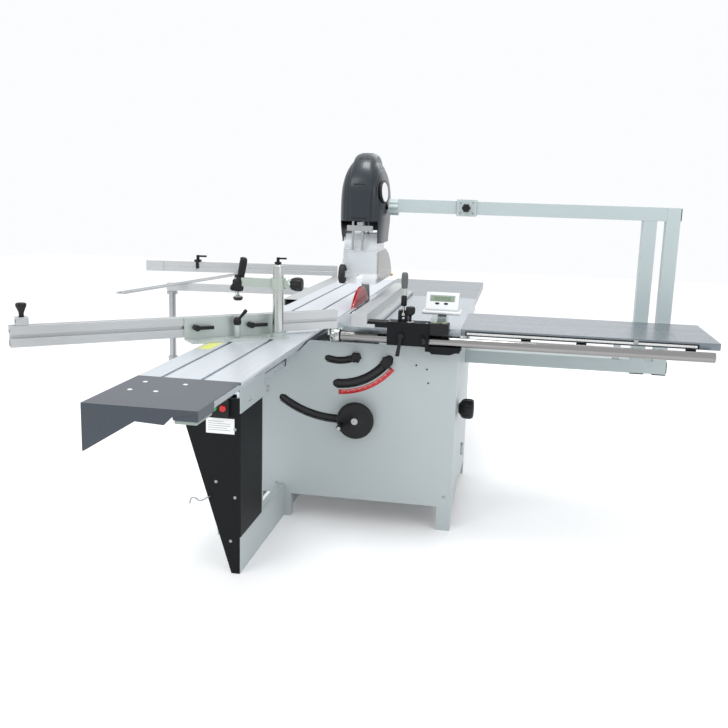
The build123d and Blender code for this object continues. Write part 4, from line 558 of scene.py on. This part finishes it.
# ---------------------------------------------------------------- fence stop with its tall knob
MITRE = Matrix.Translation(mm(*MITRE_PIVOT, 0)) @ Matrix.Rotation(radians(40), 4, "Z")
stop_block = merged([slab((-755, 36.2, 957.4), (-715, 70.8, 984), MITRE),
                     slab((-727, 71.5, 896), (-716, 80, 984), MITRE)])
piece("stop_block", stop_block, "bar", "fence_stop", bevel=1.5, replaces=("fence_stop",))
KNOB_PROFILE = [(9, 0), (8, 8), (8.5, 14), (13, 26), (17, 34), (18, 40), (17.5, 44), (14, 46.5), (3, 47.5)]
piece("stop_knob", lathe(KNOB_PROFILE, MITRE @ mm(-735, 53.5, 984), (0, 0, 1), 96,
                         lambda angle, row: 1 - 0.05 * (1 - cos(8 * angle)) * (row > 3)), "black_plastic",
                         "fence_stop")
screws("stop_screw", [tuple((MITRE @ mm(-755, 46, 972)) / MM)], (-cos(radians(40)), -sin(radians(40)), 0), 6,
       "fence_stop", "chrome")

# ---------------------------------------------------------------- digital readout
READ_LOW, READ_HIGH = (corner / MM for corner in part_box("readout_unit"))
READ_X = (READ_LOW.x + READ_HIGH.x) / 2
SLOPE = frame_of(mm(READ_X, 8, 981), (0, -62, 44)) @ Matrix.Rotation(pi, 4, "Z")
up_slope = SLOPE.to_3x3() @ Vector((0, 1, 0))
if up_slope.z < 0:
    SLOPE = SLOPE @ Matrix.Rotation(pi, 4, "Z")
case = plate([(-16, 952), (-12, 944), (58, 944), (62, 950), (62, 1010), (56, 1015), (34, 1014), (28, 1010)],
             READ_LOW.x + 10, READ_HIGH.x - 10)
piece("readout_case", case, "readout_plastic", "rip_fence", bevel=5)
piece("readout_base", slab((READ_LOW.x - 2, -26, 930), (READ_HIGH.x + 3, 74, 946)), "readout_plastic",
      "rip_fence",
      bevel=7, replaces=("readout_unit",))
piece("scale_body", merged([slab((-87, -112, 861), (-8, -50, 905)), slab((-60, -50, 905), (-26, -14, 932))]),
      "black_plastic", "rip_fence", bevel=2)
piece("scale_window", slab((-82, -108, 905), (-14, -54, 930)), "window", "rip_fence",
      bevel=3)
piece("scale_strip", slab((-78, -88, 905.2), (-18, -82, 908)), "tape", "rip_fence",
      bevel=0.3)
piece("scale_slide", slab((-56, -104, 905.2), (-38, -60, 922)), "black_plastic", "rip_fence", bevel=2)
piece("readout_bezel", slab((-52, -22, 0), (52, 30, 1.6), SLOPE), "bumper", "rip_fence",
      bevel=1.4)
piece("readout_screen", slab((-46, 0, 1), (46, 25, 2.4), SLOPE), "lcd", "rip_fence",
      bevel=0.3)
STROKES = (((0, 0), (6, 1)), ((0, 6), (6, 7)), ((0, 12), (6, 13)), ((0, 0), (1, 13)), ((5, 0), (6, 13)))
digits = [slab((-32 + 14 * place + low[0] * 1.4, 5 + low[1] * 1.15, 2.3),
               (-32 + 14 * place + high[0] * 1.4, 5 + high[1] * 1.15, 2.7), SLOPE)
          for place in range(5) for low, high in STROKES if low != (0, 6)]
piece("readout_digits", merged(digits), "black_plastic", "rip_fence", smooth=False)
piece("readout_buttons", merged([lathe([(9, 0), (9, 2.2), (7, 3.4), (0.5, 3.8)], SLOPE @ mm(x, -10, 0.8),
                                       SLOPE.to_3x3() @ Vector((0, 0, 1)), 40, lambda a,
                                       r: sqrt(1 / (cos(a) ** 2 + (sin(a) / 0.55) ** 2)))
                                 for x in (-20, 16)]), "black_plastic", "rip_fence")

# ---------------------------------------------------------------- trim of the rip fence head
LEVER_X, LEVER_Y = -197, -72
piece("micro_flange", lathe([(16, 0), (16, 3), (12, 5), (8, 5)], mm(-165, -104, 904.8), (0, 0, 1)), "steel",
      "rip_fence")
piece("rip_lever_grip", lathe([(7.2, 1036), (12.3, 1038), (12.6, 1044), (13.6, 1056), (14.0, 1072),
                               (13.6, 1088), (12.2, 1098),
                               (8, 1102.6), (1, 1103)], mm(LEVER_X, LEVER_Y, 0), (0, 0, 1), 48),
                               "grip_gray", "rip_clamp_lever")
piece("rip_lever_boot", lathe([(9, 966), (12, 969), (12, 1000), (11, 1006), (8, 1009), (7.2, 1010)],
                              mm(LEVER_X, LEVER_Y, 0), (0, 0, 1), 48), "black_plastic", "rip_clamp_lever")
piece("rip_lever_socket", merged([plate([(-92.5, 905), (-92.5, 944), (-88, 949), (-56, 949), (-51.5, 944),
                                         (-51.5, 905)], x, x + 11)
                                  for x in (-217, -188)]), "black_plastic", "rip_fence", bevel=4)
screws("head_screws", [(-247, -112, 905), (-247, -54, 905), (-96, -112, 905), (-96, -54, 905)], (0, 0, 1),
       5, "rip_fence")
piece("small_lever_ball", lathe([(3, 0), (3, 22), (8, 26), (10, 33), (8, 40), (2, 43)], mm(-110, -122, 858),
                                (0.2, -0.75, -0.65), 40), "black_plastic", "rip_fence")

# ---------------------------------------------------------------- cabinet front: scale, screws, label, hook
TILT_X, TILT_Z, FRONT = -473, 875, -30


def arc_band(inner, outer, start, end, y0, y1, steps=64):
    """Curved strip about the tilt axis; angles from straight down towards +X."""
    bm = bmesh.new()
    rings = []
    for step in range(steps + 1):
        angle = radians(start + (end - start) * step / steps)
        rings.append([bm.verts.new(mm(TILT_X + r * sin(angle), y, TILT_Z - r * cos(angle)))
                      for r, y in ((inner, y1), (inner, y0), (outer, y0), (outer, y1))])
    for one, two in zip(rings, rings[1:]):
        for side in range(4):
            other = (side + 1) % 4
            bm.faces.new((one[side], one[other], two[other], two[side]))
    bm.faces.new(rings[0])
    bm.faces.new(rings[-1])
    return bm


piece("angle_scale", arc_band(286, 306, 1, 52, FRONT - 1.2, FRONT - 0.2), "scale_red", "base")
ticks = []
for degree in range(4, 51):
    long = degree % 5 == 4
    ticks.append(arc_band(288, 298 if long else 293, degree - 0.09, degree + 0.09, FRONT - 1.6, FRONT - 1.1,
                          1))
piece("angle_scale_marks", merged(ticks), "tick_white", "base", smooth=False)
for name, radius, start, end, width in (("upper", 160, -17, 32, 24), ("middle", 260, -1, 57, 34),
                                        ("lower", 415, -35.5, 15, 30)):
    half = width / 2
    reach = degrees(half / radius)
    piece(name + "_slot_rim", merged([
        arc_band(radius + half, radius + half + 3, start, end, FRONT - 1.5, FRONT + 1),
        arc_band(radius - half - 3, radius - half, start, end, FRONT - 1.5, FRONT + 1)]), "dark_paint",
        "base")
    piece(name + "_slot_brush", arc_band(radius - half, radius + half, start - reach * 0.9, end + reach * 0.9,
                                         FRONT + 4.5, FRONT + 6), "rubber", "base")
screws("cabinet_edge_screws", [(-781, FRONT, z) for z in (560, 580)] + [(-740, FRONT, 150),
                                                                        (0, FRONT, 150)], (0, -1, 0), 6,
                                                                        "base")
screws("skirt_screws", [(x, FRONT, 838) for x in (-470, -300, -150)], (0, -1, 0), 6, "base")
screws("cover_screws", [(-793, -647, 356), (-737, -647, 128), (-890, -647, 600), (-720, -647, 560),
                        (-720, -647, 300)],
       (0, -1, 0), 6, "base")
piece("type_plate", slab((-830, -648.2, 541), (-722, -646.5, 599)), "label", "base",
      bevel=0.3)
piece("type_plate_lines", merged([slab((-822, -648.6, z), (-822 + width, -648.1, z + 1.2))
                                  for z, width in ((586, 60), (578, 84), (570, 84), (562, 72), (554, 84))]),
      "motor_paint", "base", smooth=False)
wire("support_hook", [(-812, -645, 300), (-812, -662, 302), (-826, -676, 296), (-848, -672, 282),
                      (-868, -668, 296),
                      (-886, -668, 290), (-888, -668, 270)], 3.2, "steel", "base")

# ---------------------------------------------------------------- tables: screws, bumper, tape, rail fittings
screws("tray_screws", [(-765, -1300, 875), (-645, -1300, 875), (-765, -1400, 875), (-690, -1400, 875)],
       (0, 0, 1), 7,
       "sliding_table", "label", 0.3)
piece("tray_bumper", slab((-572, -1562, 836), (-510, -1450, 846)), "bumper", "sliding_table",
      bevel=4)
piece("table_tape", slab((-812, -770, 874.9), (-768, -560, 875.3)), "tape", "sliding_table",
      bevel=0.1)
SLIDE_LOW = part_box("table_extrusion")[0] / MM
piece("rear_end_cap", slab((SLIDE_LOW.x + 1, 1770, 757), (SLIDE_LOW.x + 180, 1773, 873)), "black_plastic",
      "sliding_table", bevel=1)
piece("front_dark_strip", slab((54, -21.6, 851), (969, -20.6, 867)), "dark_paint", "base", bevel=0.3)
piece("rail_scale", slab((60, -22.2, 854), (962, -21.5, 863)), "label", "base", bevel=0.1)
piece("rail_scale_marks", merged([slab((x, -22.5, 854), (x + 0.6, -22.1, 861 if x % 50 == 0 else 858))
                                  for x in range(70, 960, 10)]), "motor_paint", "base", smooth=False)
piece("extension_clip", slab((720, -25, 852), (738, -15, 872)), "steel", "base", bevel=1.5)
screws("bracket_bolts", [(-20, -38, 812), (10, -38, 790), (-70, -38, 800)], (0, -1, 0), 7, "base", "label")
screws("insert_screws", [(x, y, 874.2) for x in (-495, -453) for y in (245, 925)], (0, 0, 1), 4.5, "base")
piece("rail_end_sleeve", lathe([(20, -497), (27.5, -497), (28.5, -494), (28.5, -462), (27, -459),
                                (20.5, -459)],
                               mm(0, -70, 828), (1, 0, 0)), "mirror_steel", "base")
screws("rail_sleeve_screw", [(-478, -98, 828)], (0, -1, 0), 6, "base")

# ---------------------------------------------------------------- mast caps and boom stop
piece("post_feet", merged([slab((x - 1, 509, 630), (x + 61, 571, 634)) for x in (782, 880)]),
      "black_plastic", "base", bevel=1)
piece("boom_end_cap", slab((940, 512, 1327), (944, 568, 1382)), "black_plastic", "base", bevel=2)
piece("lower_end_cap", slab((940, 512, 637), (944, 568, 691)), "black_plastic", "base", bevel=2)
screws("collar_screws", [(-30, 502, 1378), (28, 502, 1378), (-30, 502, 1331), (28, 502, 1331)], (0, -1, 0),
       5, "base")

# ---------------------------------------------------------------- hold-down clamp and mitre trim
POST = MITRE @ mm(149, -29, 1142)
piece("clamp_post_tube", lathe([(20.05, -247), (20.25, -246), (20.25, -1), (20.05, 0)], POST, (0, 0, 1)),
      "mirror_steel",
      "mitre_bracket")
piece("post_cap", lathe([(20.3, -3), (20.3, 0), (18, 2), (2, 2.4)], POST, (0, 0, 1)), "mirror_steel",
      "mitre_bracket")
ARM_Y = POST.y / MM
SPINDLE_X = -769
piece("clamp_hand_knob", lathe([(9, 0), (12, 3), (21, 14), (25, 26), (26, 40), (25, 50), (21, 54), (12, 55),
                                (1, 55)],
                                 mm(POST.x / MM + 38, ARM_Y, 1078), (1, 0, 0), 96,
                                 lambda a, r: 1 - 0.035 * (1 - cos(12 * a)) * (r > 1)), "black_plastic",
                                 "clamp_arm")
piece("clamp_toggle_grip", merged([
    lathe([(7, 0), (9, 4), (10.5, 20), (11, 48), (9, 58), (4, 61)], mm(-758, ARM_Y - 4, 1096),
          (-0.55, -0.12, -0.82), 40),
    lathe([(10, 0), (13, 4), (14, 16), (14, 56), (12.5, 66), (8, 71), (2, 72)], mm(-758, ARM_Y, 1098),
          (0.18, 0, 0.98), 40)]),
      "black_plastic", "clamp_lever")
piece("clamp_spindle_barrel", lathe([(15, 1042), (19, 1044), (20.5, 1050), (20.5, 1080), (18, 1086),
                                     (12, 1088)],
                                    mm(SPINDLE_X, ARM_Y, 0), (0, 0, 1), 96, lambda a,
                                    r: 1 - 0.03 * (1 - cos(20 * a)) * (0 < r < 5)),
      "black_plastic", "clamp_arm")
piece("clamp_pad", lathe([(6, 0), (14, 0), (18, 6), (18, 12), (12, 16), (4, 17)],
                         mm(SPINDLE_X, ARM_Y, 1008), (0, 0, 1)),
      "rubber", "clamp_arm")
star_knob("clamp_spindle_knob", mm(SPINDLE_X, ARM_Y, 1090), (0, 0, 1), 13, 14, 18, "clamp_arm")
for side in (-1, 1):
    wire("clamp_wire_" + ("left", "right")[side > 0],
         [(SPINDLE_X, ARM_Y + side * 8, 1066), (-776, ARM_Y + side * 14, 1052),
          (-772, ARM_Y + side * 17, 1034), (SPINDLE_X, ARM_Y + side * 15, 1018)],
         1.8, "steel", "clamp_arm")
screws("bracket_screws", [tuple((MITRE @ mm(u, -40, 881)) / MM) for u in (-160, -60, 90, 165)], (0, 0, 1),
       6, "mitre_bracket")
screws("side_rail_screws", [(-907, y, 853) for y in (760, 980, 1400, 1640)], (-1, 0, 0), 6, "sliding_table")

# ---------------------------------------------------------------- studio and camera
bm = slab((-9000, -9000, -6), (9000, 12000, -0.5))
floor_mesh = bpy.data.meshes.new("floor")
bm.to_mesh(floor_mesh)
bm.free()
floor = bpy.data.objects.new("floor", floor_mesh)
bpy.context.scene.collection.objects.link(floor)
floor_mesh.materials.append(surface("floor_paint", (0.93, 0.93, 0.93), 0.9, grain=90, bump=0.01, spread=0.01,
                                    Emission_Color=(1, 1, 1, 1), Emission_Strength=0.14))

world = bpy.data.worlds.new("studio")
bpy.context.scene.world = world
world.use_nodes = True
world.node_tree.nodes["Background"].inputs["Color"].default_value = (0.97, 0.98, 1.0, 1)
world.node_tree.nodes["Background"].inputs["Strength"].default_value = 1.0


def lamp(name, place, target, size, power):
    light = bpy.data.lights.new(name, "AREA")
    light.size = size
    light.energy = power
    thing = bpy.data.objects.new(name, light)
    bpy.context.scene.collection.objects.link(thing)
    thing.location = place
    thing.rotation_euler = (Vector(target) - Vector(place)).to_track_quat("-Z", "Y").to_euler()


lamp("key", (-2.6, -3.4, 4.2), (-0.3, 0.3, 0.8), 2.0, 50)
lamp("fill", (3.4, -3.2, 2.6), (0.0, 0.2, 0.7), 2.4, 22)
lamp("back", (0.5, 4.5, 4.0), (-0.3, 0.3, 0.9), 2.5, 30)
lamp("top", (-0.4, 0.3, 4.4), (-0.4, 0.4, 0.9), 1.2, 60)

camera = bpy.data.cameras.new("camera")
camera.lens = 43.04
camera.sensor_width = 36
camera.clip_end = 60
viewpoint = bpy.data.objects.new("camera", camera)
bpy.context.scene.collection.objects.link(viewpoint)
RIGHT = Vector((0.98313568, 0.18054565, 0.02911195))
UP = Vector((-0.0641098, 0.19116829, 0.97946139))
BACK = Vector((0.17127222, -0.9648098, 0.19951911))
turn = Matrix((RIGHT, UP, BACK)).transposed().to_4x4()
viewpoint.matrix_world = Matrix.Translation(mm(265.1, -3561.9, 1436.3)) @ turn
bpy.context.scene.camera = viewpoint
bpy.context.scene.view_settings.view_transform = "Standard"
